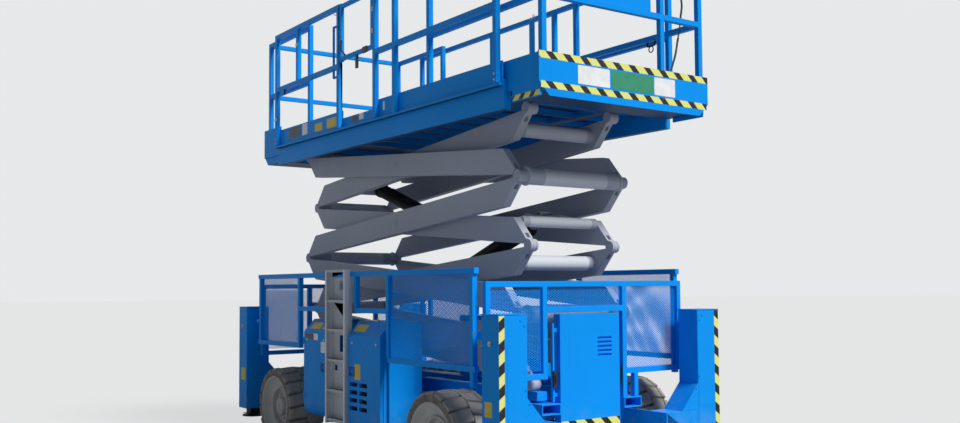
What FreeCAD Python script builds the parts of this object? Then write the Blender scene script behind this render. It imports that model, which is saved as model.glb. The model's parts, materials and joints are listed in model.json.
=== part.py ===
"""Self-propelled rough-terrain scissor lift, about 4.9 m long, shown with its deck raised to 3.15 m.

Millimetres, +Z up, tyres standing on z = 0. +X points to the steered front end, -Y to the side with
the ladder. The model is drawn about the middle of the chassis and moved at the end, so that the
frame's origin lies on the ground under the middle of the whole machine.
"""
import FreeCAD, Part
import math
import os

Vec = FreeCAD.Vector

# Scissor stack: pin-to-pin length of an arm, its rest angle and its travel
ARM_PIN_LENGTH = 3780.0
ARM_DEPTH = 210.0
ARM_WIDTH = 76.0
PIN_OFF_EDGE = 8.0
REST_ANGLE = 8.34
TOP_ANGLE = 53.6
STOW_CLEAR_ANGLE = 0.03
PIN_SHIFT_X = 5.0
LOW_PIN_Z = 820.0
OUTER_ARM_Y = 502.0
ARM_GAP = 28.0
END_SLANT = 200.0
END_REACH = 22.0
SLOT_SIZE = 36.0
SLOT_ALONG = 51.0
SLOT_ACROSS = 36.0
SLOT_DEPTH = 40.0
LEVELS = 4

# Scissor bosses and pins
BOSS_R = 50.0
BOSS_RELIEF = 6.0
PIN_R = 30.0
CENTRE_PIN_R = 38.0
CENTRE_BOSS_R = 65.0
RUN_CLEAR = 0.05
SIDE_CLEAR = 1.0
TONGUE = 30.0
CROSS_TUBE_R = 68.0
COLLAR_R = 78.0
COLLAR_LENGTH = 24.0
ROLLER_WIDTH = 100.0
TORQUE_TUBE_IN = 250.0
TORQUE_TUBE_R = 62.0
SEAT_GAP = 0.3
MOVE_GAP = 5.0

# Lift cylinders
BARREL_R = 72.0
ROD_R = 42.0
ROD_EYE_R = 55.0
CYL_PIN_R = 28.0
CYL_EAR_Y = 168.0
CYL_EAR_T = 18.0
BASE_ALONG = -160.0
BASE_ACROSS = -40.0
BASE_EYE_Y = 60.0
EYE_FROM_PIN = 400.0
EYE_ACROSS = 100.0
EYE_TUBE_OUT = 200.0
EYE_TUBE_DOWN = 45.0
EYE_TUBE_R = 45.0
EAR_HALF = 42.0
STROKE_SPARE = 47.0
GLAND_GAP = 30.0
BARREL_START = 110.0
ROD_INSIDE_START = 160.0
CYLINDER_BASES = (2, 3)

# Worked-out values of the scissor stack
PIN_RISE = ARM_DEPTH + 2 * PIN_OFF_EDGE
TILT = math.degrees(math.asin(PIN_RISE / ARM_PIN_LENGTH))
STOW_ANGLE = TILT + STOW_CLEAR_ANGLE
INNER_ARM_Y = OUTER_ARM_Y - ARM_GAP - ARM_WIDTH
HALF_SPAN = ARM_PIN_LENGTH * math.cos(math.radians(REST_ANGLE)) / 2
RISE = ARM_PIN_LENGTH * math.sin(math.radians(REST_ANGLE))
TUBE_RUN = math.sqrt(ARM_PIN_LENGTH ** 2 - PIN_RISE ** 2)
REAR_PIN_X = PIN_SHIFT_X - HALF_SPAN
FRONT_PIN_X = PIN_SHIFT_X + HALF_SPAN
TOP_PIN_Z = LOW_PIN_Z + LEVELS * RISE

# Running gear
HALF_WHEELBASE = HALF_SPAN - 400.0
TYRE_R = 390.0
TYRE_OUT_Y = 1140.0
TYRE_WIDTH = 384.0
TREAD_DEPTH = 28.0
TYRE_FACETS = 36
RIM_R = 192.0
RIM_WALL = 14.0
TYRE_FIT = 0.3
AXLE_R = 58.0
KING_PIN_Y = 660.0
KING_PIN_R = 16.0
KING_EAR_Z = 77.0
KING_EAR_T = 21.0
SPINDLE_R = 30.0
DIFFERENTIAL_R = 125.0

# Chassis
END_X = HALF_SPAN + 520.0
BEAM_IN_Y = 330.0
BEAM_OUT_Y = 492.0
BEAM_LOW_Z = 480.0
BEAM_TOP_Z = 700.0
HOUSING_LENGTH = 210.0
HOUSING_OUT_Y = 1145.0
HOUSING_WIDTH = 256.0
HOUSING_LOW_Z = 300.0
HOUSING_TOP_Z = 1385.0
HOUSING_WALL = 12.0
BRACE_TOP_Z = 786.0
BRACE_IN_Y = 700.0
BUMPER_LOW_Z = 330.0
BUMPER_TOP_Z = 572.0
BUMPER_WALL = 12.0
FRONT_ARM_Y = 530.0
TRACK_REAR_X = REAR_PIN_X + ARM_PIN_LENGTH * math.cos(math.radians(TOP_ANGLE)) - 78.0
TRACK_FRONT_X = FRONT_PIN_X + 120.0
LUG_FOOT = 130.0
LEG_SIZE = 120.0
COLLAR_T = 30.0
FOOT_R = 120.0
FOOT_T = 30.0
FOOT_Z = 210.0

# Bays and ladder between the wheels
BAY_OUT_Y = 1120.0
BAY_IN_Y = 700.0
BAY_LOW_Z = 372.0
BAY_TOP_Z = 1290.0
BAY_SLOPE_Z = 1170.0
BAY_SLOPE_Y = 110.0
BAY_WALL = 12.0
BAY_REAR_X = TYRE_R + 260.0 - HALF_WHEELBASE
BAY_FRONT_X = HALF_WHEELBASE - TYRE_R - 420.0
DOOR_T = 30.0
HINGE_R = 9.0
HINGE_LENGTH = 60.0
VENT_LOW_Z = 506.0
VENT_PITCH_X = 175.0
VENT_PITCH_Z = 70.0
VENT_WIDTH = 140.0
VENT_HEIGHT = 37.0
LATCH_IN = 70.0
LATCH_Z = 845.0
LADDER_REAR_X = -309.0
LADDER_FRONT_X = 66.0
LADDER_OUT_Y = 1145.0
LADDER_DEPTH = 70.0
LADDER_FLANGE = 10.0
LADDER_PLATE = 8.0
LADDER_LOW_Z = 350.0

# Cage of rails and mesh round the chassis
CAGE_TUBE = 45.0
CAGE_Y = 1087.0
CAGE_X = HALF_SPAN + 140.0
CAGE_SIDE_TOP_Z = 1733.0
CAGE_END_TOP_Z = 1630.0
CAGE_END_Y = 1030.0
CAGE_LOW_Z = 1000.0
CAGE_MID_Z = 1410.0
CAGE_TAIL_Z = 840.0
CAGE_POST_X = BAY_FRONT_X + 60.0
CAGE_BACK_X = BAY_REAR_X - 194.0
CAGE_LADDER_X = LADDER_FRONT_X + 83.0
END_LOW_Z = 918.0
END_MID_Z = 1430.0
NEAR_END_POST_Y = -465.0
FAR_END_POST_Y = 369.0
END_STUB_Y = 495.0
TIE_LOW_Z = 1200.0
MESH_T = 4.0
MESH_BAR = 20.0
MESH_PITCH = 150.0
BULKHEAD_T = 18.0
LADDER_TOP_Z = CAGE_SIDE_TOP_Z + 22.0

# Front box, and the fork pockets on the stepped ends of the chassis beams
BEAM_STEP_X = CAGE_X - 110.0
FRONT_BOX_IN_X = CAGE_X - 15.0
FRONT_BOX_OUT_X = CAGE_X + 62.0
FRONT_BOX_Y = 315.0
FRONT_BOX_LOW_Z = 470.0
FRONT_BOX_TOP_Z = 1370.0
SLOT_ROWS = 5
SLOT_PITCH = 34.0
POCKET_OUT_X = CAGE_X + 92.0
POCKET_IN_Y = BEAM_IN_Y + 5.0
POCKET_WIDTH = 190.0
POCKET_LOW_Z = 598.0
POCKET_HEIGHT = 86.0
POCKET_WALL = 10.0

# Work platform
DECK_Z = TOP_PIN_Z + 142.0
DECK_T = 35.0
DECK_REAR_X = REAR_PIN_X - 95.0
DECK_FRONT_X = FRONT_PIN_X + 255.0
DECK_Y = 930.0
TOE_T = 12.0
TOE_Y = DECK_Y - 30.0
SIDE_LOW_Z = DECK_Z - 233.0
LEDGE_Z = DECK_Z - DECK_T
TOE_TOP_Z = DECK_Z + 135.0
GATE_SILL_Z = DECK_Z + 60.0
RAIL_TUBE = 45.0
MID_RAIL_Z = DECK_Z + 590.0
TOP_RAIL_Z = DECK_Z + 1165.0
GATE_REAR_X = -440.0
GATE_FRONT_X = 220.0
GATE_GAP = 9.0
GATE_TUBE = 36.0
GATE_LOW_Z = DECK_Z + 645.0
GATE_HINGE_T = 8.0
GATE_PIN_R = 7.0
GATE_DROP = 10.0
TREAD_T = 4.0
TREAD_GAP = 15.0
RIB_PITCH = 350.0
RIB_WIDTH = 40.0
REAR_POST_X = DECK_REAR_X + 60.0
FRONT_POST_X = DECK_FRONT_X - 40.0
HALF_POST_X = DECK_REAR_X + 585.0
NEAR_POST_X = GATE_FRONT_X + 370.0
FAR_POSTS_X = (GATE_REAR_X - 40.0, GATE_FRONT_X + 340.0)

# Roll-out decks
EXT_TRAVEL = 1200.0
EXT_OVERLAP = 30.0
EXT_END_X = DECK_FRONT_X + 422.0
EXT_TAIL_X = DECK_FRONT_X - EXT_TRAVEL - EXT_OVERLAP
EXT_Y = DECK_Y - 44.0
EXT_RAIL_Y = DECK_Y - 85.0
EXT_PLATE_T = 12.0
EXT_FLOOR_T = 20.0
EXT_LOW_Z = DECK_Z - 190.0
EXT_CORNER_Z = DECK_Z - 91.0
EXT_CORNER_Y = 98.0
EXT_SHELF_Z = DECK_Z - 155.0
EXT_CHEEK_Z = DECK_Z - 105.0
TAIL_POST_IN = 100.0
REAR_EXT_TRAVEL = 700.0
REAR_EXT_OVERLAP = 60.0
REAR_EXT_X = DECK_REAR_X - 440.0
REAR_TAIL_X = DECK_REAR_X + REAR_EXT_TRAVEL + REAR_EXT_OVERLAP
REAR_BOX_TOP_Z = DECK_Z + 195.0
REAR_CORNER_Z = DECK_Z - 115.0
REAR_CORNER_X = 70.0
REAR_END_POST_X = REAR_EXT_X + 110.0

# Bays: name, rear edge, front edge, side, which edge carries the hinge, radius of the lower outer edge
BAYS = (("control_bay", BAY_REAR_X, LADDER_REAR_X - 21.0, -1, -1, 100.0),
        ("engine_bay", LADDER_FRONT_X + 24.0, BAY_FRONT_X, -1, 1, 40.0),
        ("tank_bay", BAY_REAR_X, -120.0, 1, -1, 100.0),
        ("battery_bay", -60.0, BAY_FRONT_X, 1, 1, 40.0))

# Holes in the ladder's back plate: middle along the ladder, middle height, width, height
LADDER_HOLES = ((0.5, 1610.0, 84.0, 84.0), (0.87, 1335.0, 36.0, 200.0), (0.56, 1080.0, 130.0, 150.0),
                (0.2, 855.0, 56.0, 48.0))

# Control box hooked over the end rail, and its cable down to the roll-out deck: each point's shift along X
# and Y, and its height as a share of the drop
CONTROL_Y = (EXT_RAIL_Y - 293.0, EXT_RAIL_Y - 55.0)
CONTROL_Z = (TOP_RAIL_Z - 260.0, TOP_RAIL_Z - 40.0)
CONTROL_DEPTH = 130.0
HOOK_T = 6.0
CABLE_R = 6.0
GLAND_R = 14.0
GLAND_DROP = 35.0
CABLE_FOOT_RISE = 15.0
CABLE_X = EXT_END_X - 115.0
CABLE_Y = CONTROL_Y[0] + 160.0
CABLE_SHAPE = ((-1, 0, 1.0), (-1, 0, 0.9277), (4, 10, 0.8373), (1, -6, 0.7289), (6, -28, 0.5964), (1, -50, 0.4639),
               (5, -78, 0.3313), (-1, -112, 0.2169), (1, -140, 0.1386), (0, -152, 0.0723), (0, -152, 0.0))

SIDES = (-1, 1)
ENDS = (-1, 1)

# The frame's origin lies half way between the two ends of the machine
FRAME_X = (EXT_END_X + REAR_EXT_X) / 2

NODES = {}


def box(x0, x1, y0, y1, z0, z1):
    """A block between two corners, given in any order."""
    low = Vec(min(x0, x1), min(y0, y1), min(z0, z1))
    return Part.makeBox(abs(x1 - x0), abs(y1 - y0), abs(z1 - z0), low)


def cyl_y(x, z, radius, y0, y1):
    return Part.makeCylinder(radius, abs(y1 - y0), Vec(x, min(y0, y1), z), Vec(0, 1, 0))


def cyl_z(x, y, radius, z0, z1):
    return Part.makeCylinder(radius, abs(z1 - z0), Vec(x, y, min(z0, z1)), Vec(0, 0, 1))


def prism(points, direction):
    return Part.Face(Part.makePolygon(points + points[:1])).extrude(direction)


def plate_y(outline_xz, y0, y1):
    """An outline in the XZ plane, extruded from y0 to y1."""
    return prism([Vec(x, y0, z) for x, z in outline_xz], Vec(0, y1 - y0, 0))


def plate_x(outline_yz, x0, x1):
    """An outline in the YZ plane, extruded from x0 to x1."""
    return prism([Vec(x0, y, z) for y, z in outline_yz], Vec(x1 - x0, 0, 0))


def fuse(shapes):
    joined = shapes[0].multiFuse(shapes[1:]) if len(shapes) > 1 else shapes[0]
    return joined.removeSplitter()


def mirrored_y(shape):
    return shape.mirror(Vec(0, 0, 0), Vec(0, 1, 0))


def mirrored_x(shape):
    return shape.mirror(Vec(0, 0, 0), Vec(1, 0, 0))


def node(name, *shapes):
    NODES[name] = fuse(list(shapes))


def rail_x(x0, x1, y, z_top, tube):
    """A square rail along X, hung from its top edge and centred on y."""
    return box(x0, x1, y - tube / 2, y + tube / 2, z_top - tube, z_top)


def rail_y(x, y0, y1, z_top, tube):
    return box(x - tube / 2, x + tube / 2, y0, y1, z_top - tube, z_top)


def post(x, y, z0, z1, tube):
    return box(x - tube / 2, x + tube / 2, y - tube / 2, y + tube / 2, z0, z1)


def arm_pins(level, rising, angle=REST_ANGLE):
    """Lower and upper pin of an arm with the stack at an angle, as (x, z)."""
    rise = ARM_PIN_LENGTH * math.sin(math.radians(angle))
    front = REAR_PIN_X + ARM_PIN_LENGTH * math.cos(math.radians(angle))
    low_z = LOW_PIN_Z + (level - 1) * rise
    ends = (REAR_PIN_X, front) if rising else (front, REAR_PIN_X)
    return (ends[0], low_z), (ends[1], low_z + rise)


def arm_point(level, rising, along, across, angle=REST_ANGLE):
    """A point on an arm, measured from its centre pin: along its tube towards +X, and up."""
    lower, upper = arm_pins(level, rising, angle)
    centre = ((lower[0] + upper[0]) / 2, (lower[1] + upper[1]) / 2)
    lean = math.radians(angle - TILT) * (1 if rising else -1)
    x = centre[0] + along * math.cos(lean) - across * math.sin(lean)
    z = centre[1] + along * math.sin(lean) + across * math.cos(lean)
    return x, z


def arm_outline(level, rising):
    """The side of the tube, with both ends cut on the slant, at rest."""
    run, half = TUBE_RUN / 2, ARM_DEPTH / 2
    sign = 1 if rising else -1
    corners = ((-run - END_REACH, -half), (run - END_SLANT, -half), (run + END_REACH, half),
               (-run + END_SLANT, half))
    return [arm_point(level, rising, sign * along, across) for along, across in corners]


def arm_side(level, rising, face_y, roller_low=False, roller_high=False):
    """One tube of an arm on the +Y side, with its tongue below and its ears and pin above."""
    y0, y1 = face_y, face_y + ARM_WIDTH
    mid = (y0 + y1) / 2
    lower, upper = arm_pins(level, rising)
    relief = BOSS_R + BOSS_RELIEF
    tongue = (mid - TONGUE / 2, mid + TONGUE / 2)
    solid = fuse([plate_y(arm_outline(level, rising), y0, y1), cyl_y(*lower, BOSS_R, y0, y1),
                  cyl_y(*upper, BOSS_R, y0, y1)])
    if roller_low:
        solid = solid.fuse(cyl_y(*lower, BOSS_R, mid - ROLLER_WIDTH / 2, mid + ROLLER_WIDTH / 2))
    else:
        solid = solid.cut(cyl_y(*lower, relief, y0 - SIDE_CLEAR, tongue[0]))
        solid = solid.cut(cyl_y(*lower, relief, tongue[1], y1 + SIDE_CLEAR))
        solid = solid.cut(cyl_y(*lower, PIN_R + RUN_CLEAR, y0, y1))
    if roller_high:
        solid = solid.fuse(cyl_y(*upper, BOSS_R, mid - ROLLER_WIDTH / 2, mid + ROLLER_WIDTH / 2))
    else:
        solid = solid.cut(cyl_y(*upper, relief, tongue[0] - SIDE_CLEAR, tongue[1] + SIDE_CLEAR))
        solid = solid.fuse(cyl_y(*upper, PIN_R, y0, y1))
    for end in ENDS:
        solid = solid.cut(end_slot(level, rising, end, mid))
    return solid


def end_slot(level, rising, end, mid_y):
    """The square slot in the slanted end face above the lower pin, or below the upper one."""
    sign = 1 if rising else -1
    start, stop = TUBE_RUN / 2 + END_REACH, TUBE_RUN / 2 - SLOT_ALONG - SLOT_DEPTH
    low, high = SLOT_ACROSS - SLOT_SIZE / 2, SLOT_ACROSS + SLOT_SIZE / 2
    corners = [arm_point(level, rising, sign * end * along, end * across)
               for along, across in ((start, low), (stop, low), (stop, high), (start, high))]
    return plate_y(corners, mid_y - SLOT_SIZE / 2, mid_y + SLOT_SIZE / 2)


def cross_tube(point, radius, reach):
    return cyl_y(*point, radius, -reach, reach)


def outer_arm(level, rising):
    """Two outer tubes, their centre pins, and the tube that joins their upper ends."""
    face = OUTER_ARM_Y
    inner_face = INNER_ARM_Y
    side = arm_side(level, rising, face)
    centre = arm_point(level, rising, 0, 0)
    side = fuse([side,
                 cyl_y(*centre, CENTRE_BOSS_R, inner_face + ARM_WIDTH + SIDE_CLEAR, face + SIDE_CLEAR),
                 cyl_y(*centre, CENTRE_PIN_R, inner_face - COLLAR_LENGTH / 2, face),
                 cyl_y(*centre, CENTRE_PIN_R + COLLAR_LENGTH / 2, inner_face - COLLAR_LENGTH / 2,
                       inner_face - SIDE_CLEAR)])
    upper = arm_pins(level, rising)[1]
    tube_end = face - MOVE_GAP
    return fuse([side, mirrored_y(side), cross_tube(upper, BOSS_R, face),
                 cross_tube(upper, CROSS_TUBE_R, tube_end),
                 cyl_y(*upper, COLLAR_R, tube_end - COLLAR_LENGTH, tube_end),
                 cyl_y(*upper, COLLAR_R, -tube_end, COLLAR_LENGTH - tube_end)])


def cylinder_ends(base_level, base_rising, angle=REST_ANGLE):
    """Base and eye of a lift cylinder: on one inner arm's middle and near the next one's pin."""
    sign = 1 if base_rising else -1
    base = arm_point(base_level, base_rising, sign * BASE_ALONG, BASE_ACROSS, angle)
    eye = arm_point(base_level + 1, not base_rising, sign * (TUBE_RUN / 2 - EYE_FROM_PIN), EYE_ACROSS, angle)
    return base, eye


def closed_length(base_level, base_rising):
    """Pin to pin with the stack lowered, less some spare stroke."""
    base, eye = cylinder_ends(base_level, base_rising, STOW_ANGLE)
    return math.hypot(eye[0] - base[0], eye[1] - base[1]) - STROKE_SPARE


def inner_arm(level, rising, base_mount=False, eye_mount=False):
    """Two inner tubes bored for the centre pins, with cross tubes and any cylinder mounts."""
    face = INNER_ARM_Y
    side = arm_side(level, rising, face, roller_low=level == 1, roller_high=level == LEVELS)
    centre = arm_point(level, rising, 0, 0)
    side = side.cut(cyl_y(*centre, CENTRE_PIN_R + RUN_CLEAR, face - 1, face + ARM_WIDTH + 1))
    pieces = [side, mirrored_y(side)]
    upper = arm_pins(level, rising)[1]
    tube_end = face - MOVE_GAP
    if not rising:
        pieces += [cross_tube(upper, BOSS_R, face), cross_tube(upper, CROSS_TUBE_R, tube_end)]
    else:
        pieces.append(cross_tube(arm_point(level, rising, TUBE_RUN / 2 - TORQUE_TUBE_IN, 0), TORQUE_TUBE_R, face + 1))
    if base_mount:
        base = cylinder_ends(level, rising)[0]
        for s in SIDES:
            pieces.append(cyl_y(*base, CYL_PIN_R, s * (CYL_EAR_Y + CYL_EAR_T), s * (face + 1)))
            pieces.append(cyl_y(*base, ROD_EYE_R, s * (BASE_EYE_Y + SIDE_CLEAR), s * (face + 1)))
        pieces.append(cyl_y(*base, CYL_PIN_R, -face, face))
    if eye_mount:
        eye = cylinder_ends(level - 1, not rising)[1]
        sign = -1 if rising else 1
        tube = (eye[0] + sign * EYE_TUBE_OUT, eye[1] - EYE_TUBE_DOWN)
        pieces.append(cross_tube(tube, EYE_TUBE_R, face + 1))
        for s in SIDES:
            ear = [(eye[0], eye[1] + EAR_HALF), (eye[0], eye[1] - EAR_HALF),
                   (tube[0], tube[1] - EYE_TUBE_R + 4), (tube[0], tube[1] + EYE_TUBE_R - 4)]
            pieces.append(fuse([plate_y(ear, s * CYL_EAR_Y, s * (CYL_EAR_Y + CYL_EAR_T)),
                                cyl_y(*eye, EAR_HALF, s * CYL_EAR_Y, s * (CYL_EAR_Y + CYL_EAR_T))]))
    return fuse(pieces)


def scissor_arms():
    for level in range(1, LEVELS + 1):
        outer_rises = level % 2 == 1
        node(f"outer_arms_{level}", outer_arm(level, outer_rises))
        inner_rises = not outer_rises
        node(f"inner_arms_{level}", inner_arm(level, inner_rises, base_mount=level in CYLINDER_BASES,
                                              eye_mount=level - 1 in CYLINDER_BASES))


def lift_cylinder(name, base_level, base_rising):
    base, eye = cylinder_ends(base_level, base_rising)
    run = Vec(eye[0] - base[0], 0, eye[1] - base[1])
    length = run.Length
    way = Vec(run).normalize()
    start = Vec(base[0], 0, base[1])
    closed = closed_length(base_level, base_rising)
    barrel_length = closed - ROD_EYE_R - GLAND_GAP
    barrel = fuse([Part.makeCylinder(BARREL_R, barrel_length - BARREL_START, start + way * BARREL_START, way),
                   cyl_y(*base, ROD_EYE_R + 10, -BASE_EYE_Y, BASE_EYE_Y),
                   Part.makeCylinder(ROD_EYE_R, BARREL_START, start, way)])
    barrel = barrel.cut(cyl_y(*base, CYL_PIN_R + RUN_CLEAR, -BASE_EYE_Y, BASE_EYE_Y))
    barrel = barrel.cut(Part.makeCylinder(ROD_R + RUN_CLEAR, length, start + way * ROD_INSIDE_START, way))
    node(f"{name}_barrel", barrel)
    rod_tail = ROD_INSIDE_START + (length - closed) + MOVE_GAP
    rod = fuse([Part.makeCylinder(ROD_R, length - rod_tail, start + way * rod_tail, way),
                cyl_y(*eye, ROD_EYE_R, -BASE_EYE_Y, BASE_EYE_Y),
                cyl_y(*eye, CYL_PIN_R, -CYL_EAR_Y + SEAT_GAP, CYL_EAR_Y - SEAT_GAP)])
    node(f"{name}_rod", rod)


def chassis_frame():
    """Two long beams on cross members, with the rear pin lugs and the front slide rails."""
    reach = END_X - HOUSING_LENGTH
    pieces = []
    for s in SIDES:
        pieces.append(box(-reach, BEAM_STEP_X, s * BEAM_IN_Y, s * BEAM_OUT_Y, BEAM_LOW_Z, BEAM_TOP_Z))
        y_mid = INNER_ARM_Y + ARM_WIDTH / 2
        roller = ROLLER_WIDTH / 2
        pieces.append(box(TRACK_REAR_X, TRACK_FRONT_X, s * (y_mid - roller), s * min(y_mid + roller, BEAM_OUT_Y),
                          BEAM_TOP_Z, LOW_PIN_Z - BOSS_R - SEAT_GAP))
        tongue_mid = OUTER_ARM_Y + ARM_WIDTH / 2
        pin = (REAR_PIN_X, LOW_PIN_Z)
        foot = [(pin[0] - LUG_FOOT, BEAM_TOP_Z), (pin[0] + LUG_FOOT, BEAM_TOP_Z), (pin[0] + BOSS_R, pin[1]),
                (pin[0] - BOSS_R, pin[1])]
        for ear in SIDES:
            near = tongue_mid + ear * (TONGUE / 2 + SIDE_CLEAR)
            far = tongue_mid + ear * ARM_WIDTH / 2
            pieces.append(plate_y(foot, s * near, s * far))
            pieces.append(cyl_y(*pin, BOSS_R, s * near, s * far))
        pieces.append(cyl_y(*pin, PIN_R, s * OUTER_ARM_Y, s * (OUTER_ARM_Y + ARM_WIDTH)))
    lug_y = OUTER_ARM_Y + ARM_WIDTH
    pieces.append(box(REAR_PIN_X - LUG_FOOT, REAR_PIN_X + LUG_FOOT, -lug_y, lug_y, BEAM_TOP_Z - 120, BEAM_TOP_Z))
    members = [REAR_PIN_X + (k + 0.95) * 0.187 * 2 * HALF_SPAN for k in range(4)] + [BEAM_STEP_X - 200]
    for x in members:
        pieces.append(box(x - 60, x + 60, -BEAM_IN_Y - 1, BEAM_IN_Y + 1, BEAM_LOW_Z + 30, BEAM_TOP_Z - 30))
    housing_y = HOUSING_OUT_Y - HOUSING_WIDTH
    bumper = box(-END_X, -reach, -housing_y, housing_y, BUMPER_LOW_Z, BUMPER_TOP_Z)
    pieces.append(bumper.cut(box(-END_X - 1, -reach - 2 * BUMPER_WALL, -BRACE_IN_Y, BRACE_IN_Y,
                                 BUMPER_LOW_Z + BUMPER_WALL, BUMPER_TOP_Z - BUMPER_WALL)))
    pieces.append(box(-reach, 60 - reach, -BEAM_OUT_Y, BEAM_OUT_Y, BUMPER_LOW_Z, BUMPER_TOP_Z))
    # at the front a tapered arm carries each housing, and the middle is left open under the box
    for s in SIDES:
        arm = [(s * FRONT_ARM_Y, BUMPER_TOP_Z), (s * housing_y, BUMPER_TOP_Z), (s * housing_y, BUMPER_LOW_Z),
               (s * FRONT_ARM_Y, BUMPER_TOP_Z - BUMPER_WALL)]
        pieces.append(plate_x(arm, reach, END_X))
        plate_in_y = FRONT_ARM_Y - BUMPER_WALL
        pieces.append(box(BEAM_STEP_X - 60, END_X, s * plate_in_y, s * FRONT_ARM_Y, BUMPER_TOP_Z - 170, BUMPER_TOP_Z))
        pieces.append(box(BEAM_STEP_X - 60, BEAM_STEP_X, s * (BEAM_OUT_Y - 1), s * (plate_in_y + 1),
                          BEAM_LOW_Z, BUMPER_TOP_Z))
    for end in ENDS:
        axle_x = end * HALF_WHEELBASE
        for s in SIDES:
            pieces.append(box(axle_x - 90, axle_x + 90, s * BEAM_IN_Y, s * BEAM_OUT_Y, TYRE_R + AXLE_R, BEAM_LOW_Z))
    node("chassis_frame", *pieces)


def outrigger_housing(end, side):
    """A tall folded box round the leg, with the slanted brace at its foot, open below."""
    x_in, x_out = end * (END_X - HOUSING_LENGTH), end * END_X
    y_out, y_in = side * HOUSING_OUT_Y, side * (HOUSING_OUT_Y - HOUSING_WIDTH)
    solid = box(x_in, x_out, y_in, y_out, HOUSING_LOW_Z, HOUSING_TOP_Z)
    brace = plate_x([(y_in, BRACE_TOP_Z), (side * BRACE_IN_Y, BUMPER_TOP_Z), (y_in, BUMPER_TOP_Z)], x_in, x_out)
    leg_x, leg_y = leg_centre(end, side)
    half = LEG_SIZE / 2 + SEAT_GAP
    inside_x, inside_y = HOUSING_LENGTH / 2 - HOUSING_WALL, HOUSING_WIDTH / 2 - HOUSING_WALL
    well = box(leg_x - inside_x, leg_x + inside_x, leg_y - inside_y, leg_y + inside_y,
               HOUSING_LOW_Z + COLLAR_T, HOUSING_TOP_Z - HOUSING_WALL)
    collar_hole = box(leg_x - half, leg_x + half, leg_y - half, leg_y + half, HOUSING_LOW_Z - 1, HOUSING_TOP_Z / 2)
    return fuse([solid, brace]).cut(well).cut(collar_hole)


def leg_centre(end, side):
    return end * (END_X - HOUSING_LENGTH / 2), side * (HOUSING_OUT_Y - HOUSING_WIDTH / 2)


def outriggers():
    housings = [outrigger_housing(end, side) for end in ENDS for side in SIDES]
    NODES["outrigger_housings"] = Part.makeCompound(housings)
    for end, end_name in ((1, "front"), (-1, "rear")):
        for side, side_name in ((1, "left"), (-1, "right")):
            x, y = leg_centre(end, side)
            half = LEG_SIZE / 2
            node(f"outrigger_leg_{end_name}_{side_name}",
                 box(x - half, x + half, y - half, y + half, FOOT_Z + FOOT_T, HOUSING_TOP_Z - 2 * LEG_SIZE),
                 cyl_z(x, y, FOOT_R, FOOT_Z, FOOT_Z + FOOT_T / 2),
                 Part.makeCone(FOOT_R, LEG_SIZE / 2, FOOT_T / 2, Vec(x, y, FOOT_Z + FOOT_T / 2)))


def tyre():
    """A tyre of flat facets about the origin; every facet carries a lug, left and right of the middle in turn."""
    half, floor = TYRE_WIDTH / 2, TYRE_R - TREAD_DEPTH
    # half of the section from the bead to the middle, as (radius to the flat, distance from the middle)
    wall = [(RIM_R, half - 60), (RIM_R + 23, half - 27), (300.0, half)]
    bare = [(floor - 12, half - 12), (floor, half - 42), (floor, 6.0)]
    lug = [(TYRE_R - 18, half - 7), (TYRE_R, half - 32), (TYRE_R, 12.0), (floor, 6.0)]
    stretch = 1 / math.cos(math.pi / TYRE_FACETS)
    turns = [2 * math.pi * (k + 0.5) / TYRE_FACETS for k in range(TYRE_FACETS + 1)]

    def corner(point, turn, row):
        return Vec(point[0] * stretch * math.cos(turn), row * point[1], point[0] * stretch * math.sin(turn))

    faces = []
    for k, (turn, following) in enumerate(zip(turns, turns[1:])):
        row = 1 if k % 2 else -1
        section = [(p, row) for p in wall + lug] + [(p, -row) for p in reversed(wall + bare)]
        for (p, p_row), (q, q_row) in zip(section, section[1:] + section[:1]):
            ring = [corner(p, turn, p_row), corner(q, turn, q_row), corner(q, following, q_row),
                    corner(p, following, p_row)]
            faces.append(Part.Face(Part.makePolygon(ring + ring[:1])))
        for angle in (turn, following):
            end = [corner(p, angle, row) for p in [wall[-1]] + lug + bare[-2::-1]]
            faces.append(Part.Face(Part.makePolygon(end + end[:1])))
    shell = Part.makeShell(faces)
    shell.sewShape()
    ring = Part.Solid(shell)
    return ring if ring.Volume > 0 else ring.reversed()


def wheel(x, side, end_name, side_name, shape):
    mid = side * (TYRE_OUT_Y - TYRE_WIDTH / 2)
    half = TYRE_WIDTH / 2
    NODES[f"tyre_{end_name}_{side_name}"] = shape.translated(Vec(x, mid, TYRE_R))
    rim_out = RIM_R - TYRE_FIT
    disc_y = mid + side * 70
    rim = [(SPINDLE_R + RUN_CLEAR, disc_y - side * 40), (95, disc_y - side * 40), (95, disc_y - side * 8),
           (rim_out - RIM_WALL, disc_y - side * 8), (rim_out - RIM_WALL, mid - side * (half - 62)),
           (rim_out, mid - side * (half - 62)), (rim_out, mid + side * (half - 62)),
           (rim_out - RIM_WALL, mid + side * (half - 62)), (rim_out - RIM_WALL, disc_y + side * 8),
           (80, disc_y + side * 20), (62, disc_y + side * 46), (SPINDLE_R + RUN_CLEAR, disc_y + side * 46)]
    face = Part.Face(Part.makePolygon([Vec(x + r, y, TYRE_R) for r, y in rim + rim[:1]]))
    node(f"rim_{end_name}_{side_name}", face.revolve(Vec(x, 0, TYRE_R), Vec(0, 1, 0), 360))
    return disc_y


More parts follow.
